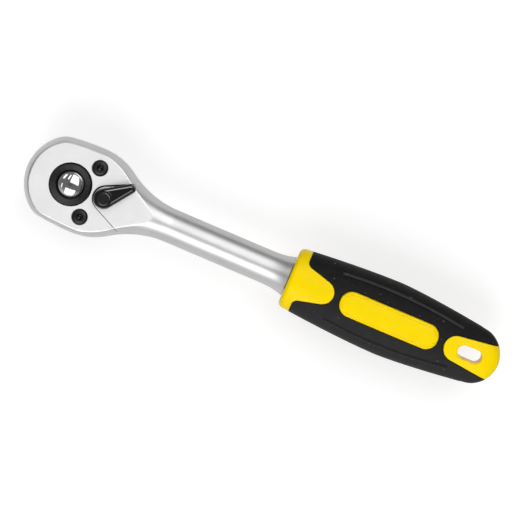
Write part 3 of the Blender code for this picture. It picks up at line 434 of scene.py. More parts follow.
def block(name, low, high, bevel=0.0, segments=3):
    bm = bmesh.new()
    size = Vector(high) - Vector(low)
    place = Matrix.Translation((Vector(low) + Vector(high)) / 2) @ Matrix.Diagonal((*size, 1.0))
    bmesh.ops.create_cube(bm, size=1.0, matrix=place)
    if bevel:
        bmesh.ops.bevel(bm, geom=bm.edges[:], offset=bevel, segments=segments, profile=0.5,
                        affect="EDGES")
    mesh = bpy.data.meshes.new(name)
    bm.to_mesh(mesh)
    bm.free()
    return placed(name, mesh)


def moved(obj, shift, angle=0.0, axis="Z"):
    """Turn a mesh about an axis through the origin, then shift it."""
    obj.data.transform(Matrix.Translation(shift) @ Matrix.Rotation(angle, 4, axis))
    return obj


def baked(obj):
    """Swap an object's mesh for what its modifiers make of it."""
    graph = bpy.context.evaluated_depsgraph_get()
    mesh = bpy.data.meshes.new_from_object(obj.evaluated_get(graph))
    obj.modifiers.clear()
    obj.data = mesh
    return obj


def carve(target, tool, operation="DIFFERENCE"):
    """Cut, join or intersect a solid with another, which is used up."""
    boolean = target.modifiers.new("carve", "BOOLEAN")
    boolean.object = tool
    boolean.operation = operation
    boolean.solver = "MANIFOLD"
    baked(target)
    bpy.data.objects.remove(tool, do_unlink=True)
    return target


def arc(x, y, radius, start, end, steps=ARC_STEPS):
    return [(x + radius * cos(a), y + radius * sin(a)) for a in evenly(start, end, steps)]


def run(start, end, steps):
    """Points on a straight run, without its two ends."""
    shares = [i / steps for i in range(1, steps)]
    return [tuple(a + (b - a) * share for a, b in zip(start, end)) for share in shares]


def mirrored(outline):
    """An open outline on the +Y side, closed by its mirror image."""
    return outline + [(x, -y) for x, y in reversed(outline) if y > MERGE_DISTANCE]


def smooth_min(a, b, blend):
    overlap = max(blend - abs(a - b), 0.0) / blend
    return max(min(a, b) - overlap * overlap * blend / 4, 0.0)


def roll(depth, drop, width):
    """How far a rolled edge of elliptic section draws in at a depth below it."""
    short = min(max(1.0 - depth / drop, 0.0), 1.0)
    return width * (1.0 - sqrt(1.0 - short ** 2))


def finished(obj, body, slot, finish, *nodes, sharp=SHARP_ANGLE):
    """Give a piece its finish, smooth shading and the body that it moves with."""
    obj.data.materials.clear()
    obj.data.materials.append(finish)
    obj.data.shade_smooth()
    obj.data.set_sharp_from_angle(angle=sharp)
    weighted = obj.modifiers.new("flat faces stay flat", "WEIGHTED_NORMAL")
    weighted.keep_sharp = True
    baked(obj)
    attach(obj, body)
    if nodes:
        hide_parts(*nodes)


# Node helpers

def feed(socket, value):
    """Link a socket to what feeds it, or set its value."""
    if isinstance(value, bpy.types.NodeSocket):
        socket.id_data.links.new(value, socket)
    elif value is not None:
        socket.default_value = value


def plug(target, **sources):
    """Link or set a node's inputs, whose spaces are written as underscores."""
    for label, value in sources.items():
        feed(target.inputs[label.replace("_", " ")], value)


def node(tree, kind, **sources):
    made = tree.nodes.new(kind)
    plug(made, **sources)
    return made


def combined(operation, first, *others):
    """One operation on a pattern, or on several in turn."""
    for other in others or (None,):
        made = first.id_data.nodes.new("ShaderNodeMath")
        made.operation = operation
        feed(made.inputs[0], first)
        feed(made.inputs[1], other)
        first = made.outputs[0]
    return first


def plus(*patterns):
    return combined("ADD", *patterns)


def times(*patterns):
    return combined("MULTIPLY", *patterns)


def node_tree(name, *lengths, counts=()):
    """A tree with a geometry input and output, and a named input for each of its sizes."""
    tree = bpy.data.node_groups.new(name, "GeometryNodeTree")
    tree.interface.new_socket("Geometry", in_out="INPUT", socket_type="NodeSocketGeometry")
    for label in lengths:
        tree.interface.new_socket(label, in_out="INPUT", socket_type="NodeSocketFloat")
    for label in counts:
        tree.interface.new_socket(label, in_out="INPUT", socket_type="NodeSocketInt")
    tree.interface.new_socket("Geometry", in_out="OUTPUT", socket_type="NodeSocketGeometry")
    return tree, tree.nodes.new("NodeGroupInput").outputs


def close_tree(tree, finish, geometry):
    """End a tree with real geometry in the piece's material."""
    real = node(tree, "GeometryNodeRealizeInstances", Geometry=geometry)
    coat = node(tree, "GeometryNodeSetMaterial", Geometry=real.outputs[0], Material=finish)
    out = tree.nodes.new("NodeGroupOutput")
    tree.links.new(coat.outputs[0], out.inputs[0])


def turned_copies(tree, finish, shape, points, step):
    """End a tree with a shape on each point, turned about the upright axis by a step more each time."""
    angle = times(tree.nodes.new("GeometryNodeInputIndex").outputs[0], step)
    euler = node(tree, "ShaderNodeCombineXYZ", Z=angle)
    turn = node(tree, "FunctionNodeEulerToRotation", Euler=euler.outputs[0])
    copies = node(tree, "GeometryNodeInstanceOnPoints", Points=points, Instance=shape,
                  Rotation=turn.outputs[0])
    close_tree(tree, finish, copies.outputs[0])


def wire_along(tree, finish, path, radius, sides):
    """End a tree with round wire along a path, closed at its ends."""
    section = node(tree, "GeometryNodeCurvePrimitiveCircle", Resolution=sides, Radius=radius)
    wire = node(tree, "GeometryNodeCurveToMesh", Curve=path.outputs[0], Profile_Curve=section.outputs[0],
                Fill_Caps=True)
    close_tree(tree, finish, wire.outputs[0])


def grown(obj, tree, **sizes):
    """Run a tree on an object with the given sizes and keep the plain mesh."""
    modifier = obj.modifiers.new(tree.name, "NODES")
    modifier.node_group = tree
    for item in tree.interface.items_tree:
        if item.in_out == "INPUT" and item.name in sizes:
            modifier[item.identifier] = sizes[item.name]
    return baked(obj)


# Finishes

def finish_nodes(name, metallic, **constants):
    """A material with its shader, and the object coordinates that its patterns read."""
    made = bpy.data.materials.new(name)
    made.use_nodes = True
    shader = made.node_tree.nodes["Principled BSDF"]
    plug(shader, Metallic=metallic, **constants)
    place = made.node_tree.nodes.new("ShaderNodeTexCoord").outputs["Object"]
    return made, shader, place


def axes(place):
    """A place or direction split along X, Y and Z."""
    return node(place.id_data, "ShaderNodeSeparateXYZ", Vector=place).outputs


def noise(place, scale, detail=3.0, roughness=0.55):
    made = node(place.id_data, "ShaderNodeTexNoise", Vector=place, Scale=scale, Detail=detail,
                Roughness=roughness)
    return made.outputs["Fac"]


def spread(factor, low, high, start=PATTERN_LOW, end=PATTERN_HIGH):
    """Map a pattern's middle range, or the given one, to a pair of values."""
    made = node(factor.id_data, "ShaderNodeMapRange", Value=factor, From_Min=start, From_Max=end,
                To_Min=low, To_Max=high)
    return made.outputs["Result"]


def tint(factor, dark, pale):
    """Two colours, one at each end of a pattern's middle range."""
    made = node(factor.id_data, "ShaderNodeValToRGB", Fac=factor)
    stops = zip(made.color_ramp.elements, (PATTERN_LOW, PATTERN_HIGH), (dark, pale))
    for element, position, colour in stops:
        element.position = position
        element.color = (*colour, 1.0)
    return made.outputs["Color"]


def bumped(height, strength, distance, under=None):
    made = node(height.id_data, "ShaderNodeBump", Height=height, Strength=strength, Distance=distance,
                Normal=under)
    return made.outputs["Normal"]


def satin_chrome():
    """Plating over steel: paler and matt where the head's flats are blasted, smoother round the sides.

    The walls of the seam round the lever's wedge are painted dark: painted shade in the seam.
    """
    made, shader, place = finish_nodes("satin_chrome", 1.0)
    facing = axes(place.node.outputs["Normal"])["Z"]
    along, across, height = axes(place)
    flat = times(spread(combined("ABSOLUTE", facing), 0.0, 1.0, *FLAT_FACING),
                 spread(along, 1.0, 0.0, FLAT_END - FLAT_FADE, FLAT_END))
    cloud = spread(noise(place, scale=90.0), low=-0.02, high=0.02)
    tone = plus(cloud, spread(flat, SIDE_TONE, FLAT_TONE, 0.0, 1.0))
    # Painted shade: the seam's walls round the lever's wedge are darkened in the base colour
    from_lever = combined("SUBTRACT", along, WEDGE_X)
    apart = plus(times(from_lever, from_lever), times(across, across))
    painted_seam_shade = times(spread(apart, 1.0, 0.0, SEAM_SHADE_REACH ** 2, (SEAM_SHADE_REACH + SEAM_SHADE_FADE) ** 2),
                spread(height, 1.0, 0.0, PLATE_TOP - SEAM_SHADE_DEEP, PLATE_TOP - SEAM_SHADE_SHALLOW),
                spread(height, 0.0, 1.0, BODY_SEAT - SEAM_SHADE_DEEP, BODY_SEAT - SEAM_SHADE_FLOOR))
    grain = noise(place, scale=2600.0, detail=2.0)
    dimpled = bumped(noise(place, scale=900.0), strength=0.10, distance=0.00008)
    plug(shader, Base_Color=times(tone, spread(painted_seam_shade, 1.0, SEAM_SHADE_TONE, 0.0, 1.0)),
         Roughness=plus(spread(grain, low=-0.04, high=0.04),
                        spread(flat, SIDE_ROUGHNESS, FLAT_ROUGHNESS, 0.0, 1.0)),
         Normal=bumped(grain, strength=0.12, distance=0.00003, under=dimpled))
    return made


def clouded(name, metallic, dark, pale, patches, grain, smooth, rough, bump, depth=0.00002, **constants):
    """A finish with slow patches between two colours, and a fine grain between two roughnesses.

    The patches and the grain are each given as a noise's scale, detail and roughness.
    """
    made, shader, place = finish_nodes(name, metallic, **constants)
    fine = noise(place, *grain)
    plug(shader, Base_Color=tint(noise(place, *patches), dark, pale),
         Roughness=spread(fine, smooth, rough), Normal=bumped(fine, bump, depth))
    return made


def black_oxide(name, smooth, rough, gloss, oily=0.0):
    """Blackened steel, a little uneven, between two roughnesses, smoother with oil below a height."""
    made, shader, place = finish_nodes(name, 0.0, IOR=1.65, Specular_IOR_Level=gloss)
    cloud = noise(place, scale=400.0)
    grain = noise(place, scale=3500.0, detail=2.0)
    height = axes(place)["Z"]
    dry = spread(height, OILED_SHARE, 1.0, oily, oily + OIL_FADE)
    plug(shader, Base_Color=tint(cloud, dark=(0.002,) * 3, pale=(0.005,) * 3),
         Roughness=times(dry, spread(grain, smooth, rough)),
         Normal=bumped(grain, strength=0.06, distance=0.00003))
    return made


def turned_black():
    """Blackened steel with the fine rings of a lathe tool about the drive's axis."""
    made, shader, place = finish_nodes("turned_black", 0.0, Specular_IOR_Level=0.45)
    rings = node(made.node_tree, "ShaderNodeTexWave", Vector=place, Scale=1100.0, Distortion=0.8,
                 Detail=2.0)
    rings.wave_type = "RINGS"
    rings.rings_direction = "Z"
    cloud = noise(place, scale=1300.0)
    grain = noise(place, scale=2000.0, detail=2.0)
    cut = bumped(rings.outputs["Fac"], strength=0.8, distance=0.00002)
    plug(shader, Base_Color=tint(cloud, dark=(0.006,) * 3, pale=(0.012,) * 3),
         Roughness=spread(cloud, low=0.14, high=0.30),
         Normal=bumped(grain, strength=0.25, distance=0.00004, under=cut))
    return made


def black_rubber(name, painted_shade_tone, painted_lit_tone, smooth, rough, grain_strength, gloss, dull=0.0):
    """Soft overmould, matt where it is pebbled, with pale specks of dust.

    Its colour is painted lighter away from the lever's side, as light falling from there, and darker on the
    lever's side; it is duller away from the lever too.
    """
    made, shader, place = finish_nodes(name, 0.0, Specular_IOR_Level=gloss)
    across = axes(place)["Y"]
    cells = node(made.node_tree, "ShaderNodeTexVoronoi", Vector=place, Scale=DUST_SCALE).outputs
    chosen = node(made.node_tree, "ShaderNodeSeparateColor", Color=cells["Color"]).outputs
    ragged = spread(noise(place, scale=3200.0, detail=2.0), -DUST_RAGGED, DUST_RAGGED)
    edge = plus(cells["Distance"], ragged, spread(chosen[1], 0.0, DUST_RAGGED, 0.0, 1.0))
    dust = times(spread(edge, 1.0, 0.0, *DUST_EDGE), spread(chosen[0], 0.0, 1.0, *DUST_CHOSEN), DUST_TONE)
    handled = spread(noise(place, scale=240.0, detail=5.0, roughness=0.65), -HANDLED_TONE, HANDLED_TONE)
    # Painted light: the tone is lighter on the side away from the lever and darker on the lever's side
    painted_side_light = spread(across, painted_lit_tone, painted_shade_tone, SIDE_LIGHT_START, SIDE_LIGHT_END)
    grain = noise(place, scale=1300.0, detail=3.0, roughness=0.6)
    dulled = spread(across, dull, 0.0, -DULL_FADE, DULL_FADE)
    plug(shader, Base_Color=plus(handled, painted_side_light, dust), Roughness=plus(spread(grain, smooth, rough), dulled),
         Normal=bumped(grain, grain_strength, distance=0.00006))
    return made


# Head and neck

def flare(x):
    return max((x - FLARE_START) / FLARE_LENGTH, 0.0) ** FLARE_CURVE


def half_width(x):
    """Half-width of the forging at mid height, without the round of its nose."""
    past = x - SHOULDER_X
    if past <= 0.0:
        return HEAD_HALF_WIDTH - past * past / (2 * SIDE_RADIUS)
    if past < SHOULDER_RADIUS * sin(SHOULDER_TURN):
        return HEAD_HALF_WIDTH - SHOULDER_RADIUS + sqrt(SHOULDER_RADIUS ** 2 - past * past)
    before = max(NECK_START - x, 0.0)
    neck = NECK_HALF_WIDTH + NECK_FILLET - sqrt(NECK_FILLET ** 2 - before * before)
    return neck + FLARE_WIDTH * flare(x)


def head_share(x):
    """One on the head, falling to nothing where the neck starts."""
    along = min(max((x - CROWN_TAPER_X) / (NECK_START - CROWN_TAPER_X), 0.0), 1.0)
    return (1.0 - along ** CROWN_TAPER_START) ** CROWN_TAPER_END


def crown(x):
    """Half-height that the section would have if its flats were not milled."""
    full = HALF_HEIGHT + HEAD_CROWN
    return NECK_HALF_HEIGHT + (full - NECK_HALF_HEIGHT) * head_share(x) + FLARE_HEIGHT * flare(x)


def narrowing(x, rise):
    """How much of the mid-height width is left at a height above the mid plane."""
    power = NECK_SQUARENESS + (HEAD_SQUARENESS - NECK_SQUARENESS) * head_share(x)
    return max(1.0 - abs(rise / crown(x)) ** power, 0.0) ** (1.0 / power)


def nose_reach(x, rise):
    """Radius of the round nose at a height, drawn in by the rolled edge of the flats."""
    return NOSE_RADIUS * narrowing(x, rise) - roll(HALF_HEIGHT - abs(rise), EDGE_DROP, EDGE_WIDTH)


def section_top(x):
    """Height of a section above the mid plane: the flat, or the round nose in front of it."""
    low = 0.0
    high = min(HALF_HEIGHT, crown(x))
    if x >= 0.0 or nose_reach(x, high) >= -x:
        return high
    for _ in range(HALVINGS):
        middle = (low + high) / 2
        if nose_reach(x, middle) >= -x:
            low = middle
        else:
            high = middle
    return low


def forging_ring(x):
    """One ring of the forging: down its +Y side, then up its -Y side."""
    top = section_top(x)
    side = []
    for i in range(SECTION_POINTS):
        rise = top * cos(pi * i / (SECTION_POINTS - 1))
        rolled = roll(HALF_HEIGHT - abs(rise), EDGE_DROP, EDGE_WIDTH)
        y = max(half_width(x) * narrowing(x, rise) - rolled, 0.0)
        if x < 0.0:
            nose = sqrt(max(nose_reach(x, rise) ** 2 - x * x, 0.0))
            y = smooth_min(nose, y, NOSE_BLEND)
        side.append((x, y, MID_HEIGHT + rise))
    return side + [(x, -y, z) for x, y, z in reversed(side)]


def forging(name):
    """The head and neck in one loft, closest where its outline bends."""
    flat_nose = NOSE_RADIUS * narrowing(0.0, HALF_HEIGHT) - EDGE_WIDTH
    corner = -NOSE_RADIUS * cos(radians(NOSE_SWEEP))
    flare_end = NECK_END - FLARE_ROLL
    stations = [-NOSE_RADIUS * cos(radians(a)) for a in range(2, NOSE_SWEEP + 2, 2)]
    stations += [-flat_nose * cos(radians(a)) for a in range(1, 60, 3)]
    stations += evenly(corner, SHOULDER_X, steps=20)[1:-1]
    stations += evenly(SHOULDER_X, NECK_START, steps=64)
    stations += evenly(NECK_START, FLARE_START, steps=10)[1:-1]
    stations += evenly(FLARE_START, flare_end, steps=24)
    rings = [forging_ring(x) for x in sorted(stations)]
    for angle in (30, 60, 90):
        turn = radians(angle)
        x = flare_end + FLARE_ROLL * sin(turn)
        shrink = 1 - FLARE_ROLL * (1 - cos(turn)) / NECK_HALF_HEIGHT
        rings.append([(x, y * shrink, MID_HEIGHT + (z - MID_HEIGHT) * shrink)
                      for _, y, z in forging_ring(flare_end)])
    return skin(name, rings)


def cover_edge(grow, shift):
    """The cover's outline seen from above, grown inwards from the wedge under the lever, and shifted."""
    far = NECK_START
    wide = HEAD_HALF_WIDTH * 2
    tip = arc(WEDGE_X, 0.0, WEDGE_RADIUS - grow, pi / 2 + WEDGE_ANGLE, pi, steps=24)
    line_y = tip[0][1] + (far - tip[0][0]) * tan(WEDGE_ANGLE)
    outline = mirrored([(-wide, 0.0), (-wide, wide), (far, wide), (far, line_y)] + tip)
    return [(x + shift[0], y + shift[1]) for x, y in outline]


def head_and_neck(finish):
    body = forging("head_and_neck")
    tang_low = (NECK_END - TANG_ROOT, -TANG_HALF_WIDTH, MID_HEIGHT - TANG_HALF_HEIGHT)
    tang_high = (TANG_END, TANG_HALF_WIDTH, MID_HEIGHT + TANG_HALF_HEIGHT)
    carve(body, block("tang", tang_low, tang_high), "UNION")
    levels = [(BODY_SEAT, 0.0), (PLATE_TOP - WEDGE_DROP, 0.0), (PLATE_TOP + WEDGE_DROP, 2 * WEDGE_BEVEL),
              (ABOVE, 2 * WEDGE_BEVEL)]
    carve(body, column("cover_seat", lambda grow: cover_edge(grow, WEDGE_SHIFT), levels))
    carve(body, rod("gear_pocket", GEAR_POCKET_RADIUS, GEAR_BOTTOM - SOCKET_GAP, ABOVE))
    bore = JOURNAL_RADIUS + RUNNING_GAP
    mouth = BODY_BOTTOM - JOURNAL_EDGE
    carve(body, turned("journal_bore", [(bore, PAWL_CEILING), (bore, BODY_BOTTOM + JOURNAL_EDGE),
                                        (bore + 2 * JOURNAL_EDGE, mouth)]))
    angle = acos(PAWL_POCKET_BACK / PAWL_POCKET_RADIUS)
    pocket = arc(LEVER_X, 0.0, PAWL_POCKET_RADIUS, angle, 2 * pi - angle, LONG_ARC_STEPS)
    carve(body, prism("pawl_pocket", pocket, PAWL_FLOOR, PAWL_CEILING))
    shaft = LEVER_SHAFT_RADIUS + RUNNING_GAP
    carve(body, rod("shaft_bore", shaft, SHAFT_LOW.z - SOCKET_GAP, ABOVE, x=LEVER_X))
    hole = SCREW_RADIUS + RUNNING_GAP
    for y in (SCREW_Y, -SCREW_Y):
        carve(body, rod("screw_hole", hole, SCREW_LOW.z - SOCKET_GAP, ABOVE, SMALL_SEGMENTS, SCREW_X, y))
    finished(body, "root", "satin_chrome", finish, "ratchet_body")


def head_cover(finish):
    cover = forging("head_cover")
    rim = PLATE_TOP - EDGE_BREAK
    above = PLATE_TOP + EDGE_BREAK
    levels = [(BODY_SEAT + SEAM, -SEAM), (rim, -SEAM), (above, -SEAM - 2 * EDGE_BREAK)]
    carve(cover, column("cover_outline", lambda grow: cover_edge(grow, COVER_SHIFT), levels), "INTERSECT")
    hole = JOURNAL_RADIUS + FIT
    carve(cover, turned("collar_hole", [(hole + 2 * EDGE_BREAK, above), (hole, rim), (hole, BODY_BOTTOM)]))
    head = SCREW_HEAD_RADIUS + FIT
    shank = SCREW_RADIUS + RUNNING_GAP
    neck = PLATE_TOP - (SCREW_HEAD_RADIUS - SCREW_RADIUS) - SOCKET_GAP
    for y in (SCREW_Y, -SCREW_Y):
        carve(cover, turned("countersink", [(head + 2 * EDGE_BREAK, above), (head, rim),
                                            (head, rim - EDGE_BREAK), (shank, neck), (shank, BODY_BOTTOM)],
                            SMALL_SEGMENTS, SCREW_X, y))
    finished(cover, "root", "satin_chrome", finish, "cover_plate")


def hexagon(radius, angle):
    """Distance to a hexagon's edge in a direction."""
    within = (angle + pi / 6) % (pi / 3) - pi / 6
    return radius * cos(pi / 6) / cos(within)


def screw_shape():
    """One countersunk screw about the upright axis, its head's face at height zero."""
    edge = SCREW_EDGE
    socket = SCREW_SOCKET_RADIUS
    floor_z = -SCREW_SOCKET_DEPTH
    head = SCREW_HEAD_RADIUS
    cone = head - SCREW_RADIUS
    length = SCREW_HIGH.z - SCREW_LOW.z
    inside = [(0.0, floor_z - edge), (SCREW_POINT_RADIUS, floor_z), (socket, floor_z), (socket, -edge),
              (socket + edge, 0.0)]
    outside = [(head - 4 * edge, 0.0), (head - 3.5 * edge, -edge / 4), (head - edge, -2.5 * edge),
               (head - edge, -3 * edge), (SCREW_RADIUS, -2 * edge - cone), (SCREW_RADIUS, edge - length),
               (SCREW_RADIUS - edge, -length), (0.0, -length)]
    rings = []
    for profile, reach in ((inside, hexagon), (outside, lambda radius, angle: radius)):
        for radius, z in profile:
            rings.append([(reach(radius, a) * cos(a), reach(radius, a) * sin(a), z)
                          for a in full_turn(SMALL_SEGMENTS)])
    return skin("cover_screws", rings)


def cover_screws(finish):
    """Two alike screws, one each side of the handle's axis."""
    tree, sizes = node_tree("mirrored screws", "Forward", "Sideways", "Height", "Turn")
    opposite = times(sizes["Sideways"], -1.0)
    lower, upper = [
        node(tree, "ShaderNodeCombineXYZ", X=sizes["Forward"], Y=side, Z=sizes["Height"]).outputs[0]
        for side in (opposite, sizes["Sideways"])]
    ends = node(tree, "GeometryNodeMeshLine", Count=2, Start_Location=lower, Offset=upper)
    ends.mode = "END_POINTS"
    turned_copies(tree, finish, sizes["Geometry"], ends.outputs["Mesh"], sizes["Turn"])
    screws = grown(screw_shape(), tree, Forward=SCREW_X, Sideways=SCREW_Y, Height=SCREW_HIGH.z,
                   Turn=SCREW_TURN)
    finished(screws, "root", "black_oxide_steel", finish, "cover_screw_upper", "cover_screw_lower")


# Drive

def gear_teeth(finish):
    """Straight teeth in a ring, each a wedge sunk into the rim under it."""
    pitch = 2 * pi / GEAR_TEETH
    tip = GEAR_TIP_RADIUS
    root = tip - TOOTH_DEPTH
    foot = root * pitch / 2
    land = tip * pitch * TOOTH_LAND / 2
    sunk = root - TOOTH_DEPTH
    outline = [(sunk, -foot), (root, -foot), (tip, -land), (tip, land), (root, foot), (sunk, foot)]
    slim = [(x, y * TOOTH_SLIMMING) for x, y in outline]
    tooth = prism("gear_teeth", slim, GEAR_BOTTOM, GEAR_TOP)
    tree, sizes = node_tree("teeth in a ring", "Pitch", counts=["Count"])
    points = node(tree, "GeometryNodePoints", Count=sizes["Count"])
    turned_copies(tree, finish, sizes["Geometry"], points.outputs[0], sizes["Pitch"])
    return grown(tooth, tree, Count=GEAR_TEETH, Pitch=pitch)


def drive(finish):
    """Collar, gear, journal and drive square in one piece."""
    root = GEAR_TIP_RADIUS - TOOTH_DEPTH
    edge = COLLAR_EDGE
    journal = JOURNAL_RADIUS
    piece = turned("drive", [
        (COLLAR_RADIUS - edge, COLLAR_TOP), (COLLAR_RADIUS, COLLAR_TOP - edge), (COLLAR_RADIUS, GEAR_TOP),
        (root, GEAR_TOP), (root, GEAR_BOTTOM), (journal, GEAR_BOTTOM),
        (journal, DRIVE_LENGTH + JOURNAL_EDGE), (journal - JOURNAL_EDGE, DRIVE_LENGTH)], 2 * GEAR_TEETH)
    carve(piece, gear_teeth(finish), "UNION")
    half = DRIVE_HALF
    square = block("square", (-half, -half, 0.0), (half, half, GEAR_BOTTOM), DRIVE_BEVEL, segments=4)
    carve(piece, square, "UNION")
    bottom = BUTTON_LOW.z - BUTTON_TRAVEL - SOCKET_GAP
    groove = SNAP_RING_RADIUS + SPRING_WIRE + RUNNING_GAP
    groove_top = SNAP_RING_Z + (SPRING_WIRE + RUNNING_GAP)
    groove_low = SNAP_RING_Z - (SPRING_WIRE + RUNNING_GAP)
    bore = BUTTON_BORE_RADIUS
    pin = PIN_RADIUS + RUNNING_GAP
    carve(piece, turned("button_bore", [
        (bore + 2 * edge, COLLAR_TOP + edge), (bore, COLLAR_TOP - edge), (bore, groove_top),
        (groove, groove_top), (groove, groove_low), (bore, groove_low), (bore, SPRING_SHELF),
        (pin, SPRING_SHELF), (pin, bottom)]))
    ball = BALL_RADIUS + RUNNING_GAP
    mouth = sqrt(BALL_RADIUS ** 2 - (BALL_RADIUS - BALL_PROUD) ** 2) + RUNNING_GAP
    lip = BALL_LIP
    hole = turned("ball_bore", [
        (mouth + lip / 2, 2 * half), (mouth + lip / 4, half + lip / 8), (mouth, half - lip / 8),
        (ball, half - lip), (ball, 0.0)], SMALL_SEGMENTS)
    carve(piece, moved(hole, (0.0, 0.0, BALL_CENTRE.z), pi / 2, "X"))
    finished(piece, "drive", "black_oxide_steel", finish, "drive_gear")


def release_dome(finish):
    """Domed button with a crisp edge, its guide flange and the coned pin that holds the ball out."""
    cap = BUTTON_HIGH.z - BUTTON_DOME
    steps = 20
    profile = []
    for i in range(steps + 1):
        angle = pi / 2 * (1 - i / steps)
        profile.append((BUTTON_RADIUS * cos(angle), cap + BUTTON_DOME * sin(angle)))
    flange = BUTTON_FLANGE_RADIUS
    flange_top = RING_LOW.z - SOCKET_GAP
    flange_bottom = COIL_HIGH.z + SOCKET_GAP
    profile += [(BUTTON_RADIUS, flange_top), (flange - BUTTON_FLANGE_EDGE, flange_top),
                (flange, flange_top - BUTTON_FLANGE_EDGE), (flange, flange_bottom),
                (PIN_RADIUS, flange_bottom), (PIN_RADIUS, PIN_SHOULDER_Z),
                (PIN_WAIST_RADIUS, PIN_WAIST_TOP), (PIN_WAIST_RADIUS, PIN_WAIST_BOTTOM),
                (PIN_CONE_RADIUS, BUTTON_LOW.z)]
    finished(turned("release_dome", profile), "release", "polished_chrome", finish, "release_button")


def locking_ball(finish):
    angles = evenly(0.0, pi, steps=28)
    profile = [(BALL_RADIUS * sin(a), BALL_CENTRE.z + BALL_RADIUS * cos(a)) for a in angles]
    ball = moved(turned("locking_ball", profile, SMALL_SEGMENTS), (BALL_CENTRE.x, BALL_CENTRE.y, 0.0))
    finished(ball, "ball", "polished_chrome", finish, "detent_ball")


def coil_tree(finish):
    """Round wire wound into a coil that rises from the origin."""
    tree, sizes = node_tree("wound wire", "Turns", "Radius", "Height", "Wire")
    path = node(tree, "GeometryNodeCurveSpiral", Resolution=COIL_STEPS, Rotations=sizes["Turns"],
                Start_Radius=sizes["Radius"], End_Radius=sizes["Radius"], Height=sizes["Height"])
    wire_along(tree, finish, path, sizes["Wire"], COIL_SIDES)
    return tree


def wound(name, tree, height, angle, **sizes):
    """A coil or ring of wire at a height, turned by an angle."""
    obj = grown(placed(name, bpy.data.meshes.new(name)), tree, Wire=SPRING_WIRE, **sizes)
    tidied(moved(obj, (0.0, 0.0, height), angle).data)
    return obj


def springs(finish):
    """The button's spring, and the ring that keeps the button in."""
    tree = coil_tree(finish)
    rise = COIL_HIGH.z - COIL_LOW.z - 2 * SPRING_WIRE
    coil = wound("release_spring", tree, COIL_LOW.z + SPRING_WIRE, 0.0,
                 Turns=SPRING_TURNS, Radius=SPRING_RADIUS, Height=rise)
    finished(coil, "drive", "spring_steel", finish, "button_spring")
    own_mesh(coil)
    part_turn = 1 - SNAP_RING_OPENING / (2 * pi)
    ring = wound("snap_ring", tree, SNAP_RING_Z, SNAP_RING_OPENING / 2,
                 Turns=part_turn, Radius=SNAP_RING_RADIUS, Height=0.0)
    finished(ring, "drive", "spring_steel", finish, "button_snap_ring")


# Lever

def lever_outline(grow):
    """Tight skin round the hub and the tip, grown past the lever's edge."""
    hub = LEVER_HUB_RADIUS + grow
    tip = LEVER_TIP_RADIUS + grow
    touch = acos((LEVER_HUB_RADIUS - LEVER_TIP_RADIUS) / LEVER_LENGTH)
    return (arc(0.0, 0.0, hub, touch, 2 * pi - touch, LONG_ARC_STEPS)
            + arc(LEVER_LENGTH, 0.0, tip, -touch, touch, LONG_ARC_STEPS // 2))


def reversing_lever(finish):
    """Rounded arm with a raised rim about a channel, and a flat boss on its hub."""
    top = LEVER_TOP
    edge = LEVER_EDGE
    levels = [(LEVER_BOTTOM, -edge), (LEVER_BOTTOM + edge, 0.0)]
    for angle in range(0, 91, 10):
        turn = radians(angle)
        levels.append((top - LEVER_ROLL * (1 - sin(turn)), -LEVER_ROLL * (1 - cos(turn))))
    levels += [(top, -LEVER_RIM), (top - edge, -LEVER_RIM - LEVER_CHANNEL_ROUND),
               (top - LEVER_CHANNEL_DEPTH, -LEVER_RIM - LEVER_CHANNEL_DRAFT)]
    lever = column("reversing_lever", lever_outline, levels)
    boss = LEVER_BOSS_RADIUS
    foot = LEVER_BOTTOM + LEVER_ROLL
    carve(lever, turned("boss", [(boss - edge, top), (boss, top - edge), (boss, foot)]), "UNION")
    seat = SHAFT_HEAD_RADIUS + RUNNING_GAP
    wide = seat + 2 * edge
    bore = LEVER_SHAFT_RADIUS + FIT
    seat_z = top - SHAFT_HEAD_SEAT
    carve(lever, turned("lever_bore", [(wide, ABOVE), (wide, top + edge), (seat, top - edge),
                                       (seat, seat_z), (bore, seat_z), (bore, BODY_BOTTOM)]))
    moved(lever, (LEVER_X, 0.0, 0.0), LEVER_REST)
    finished(lever, "lever", "black_oxide_steel", finish, "reverse_lever", sharp=LEVER_SHARP)


def lever_post(finish):
    """The lever's shaft: a slightly dished head, and a cross-hole for the plunger."""
    edge = SHAFT_EDGE
    head = SHAFT_HEAD_RADIUS
    shaft = LEVER_SHAFT_RADIUS
    top = SHAFT_HIGH.z
    foot = SHAFT_LOW.z
    head_bottom = LEVER_TOP - SHAFT_HEAD_SEAT + SOCKET_GAP
    post = turned("lever_post", [
        (head - 3 * edge, top - edge / 3), (head - 2.5 * edge, top), (head - edge, top),
        (head - edge / 4, top - edge / 4), (head, top - edge), (head, head_bottom), (shaft, head_bottom),
        (shaft, foot + edge), (shaft - edge, foot)])
    coil_low, coil_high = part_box("plunger_spring")
    axis_height = (coil_low.z + coil_high.z) / 2
    bore = rod("plunger_bore", PLUNGER_BORE_RADIUS, -PLUNGER_BORE_DEPTH, LEVER_HUB_RADIUS, SMALL_SEGMENTS)
    carve(post, moved(bore, (0.0, 0.0, axis_height), pi / 2, "Y"))
    moved(post, (LEVER_X, 0.0, 0.0), LEVER_REST)
    finished(post, "lever", "black_oxide_steel", finish, "lever_shaft")


# Grip

def drawn_in(along, fullest, front, rear):
    """How far the grip draws in ahead of its fullest place and behind it, each an amount and a curve."""
    if along < fullest:
        return front[0] * (1 - along / fullest) ** front[1]
    return rear[0] * ((along - fullest) / (GRIP_END_CENTRE - GRIP_FRONT - fullest)) ** rear[1]


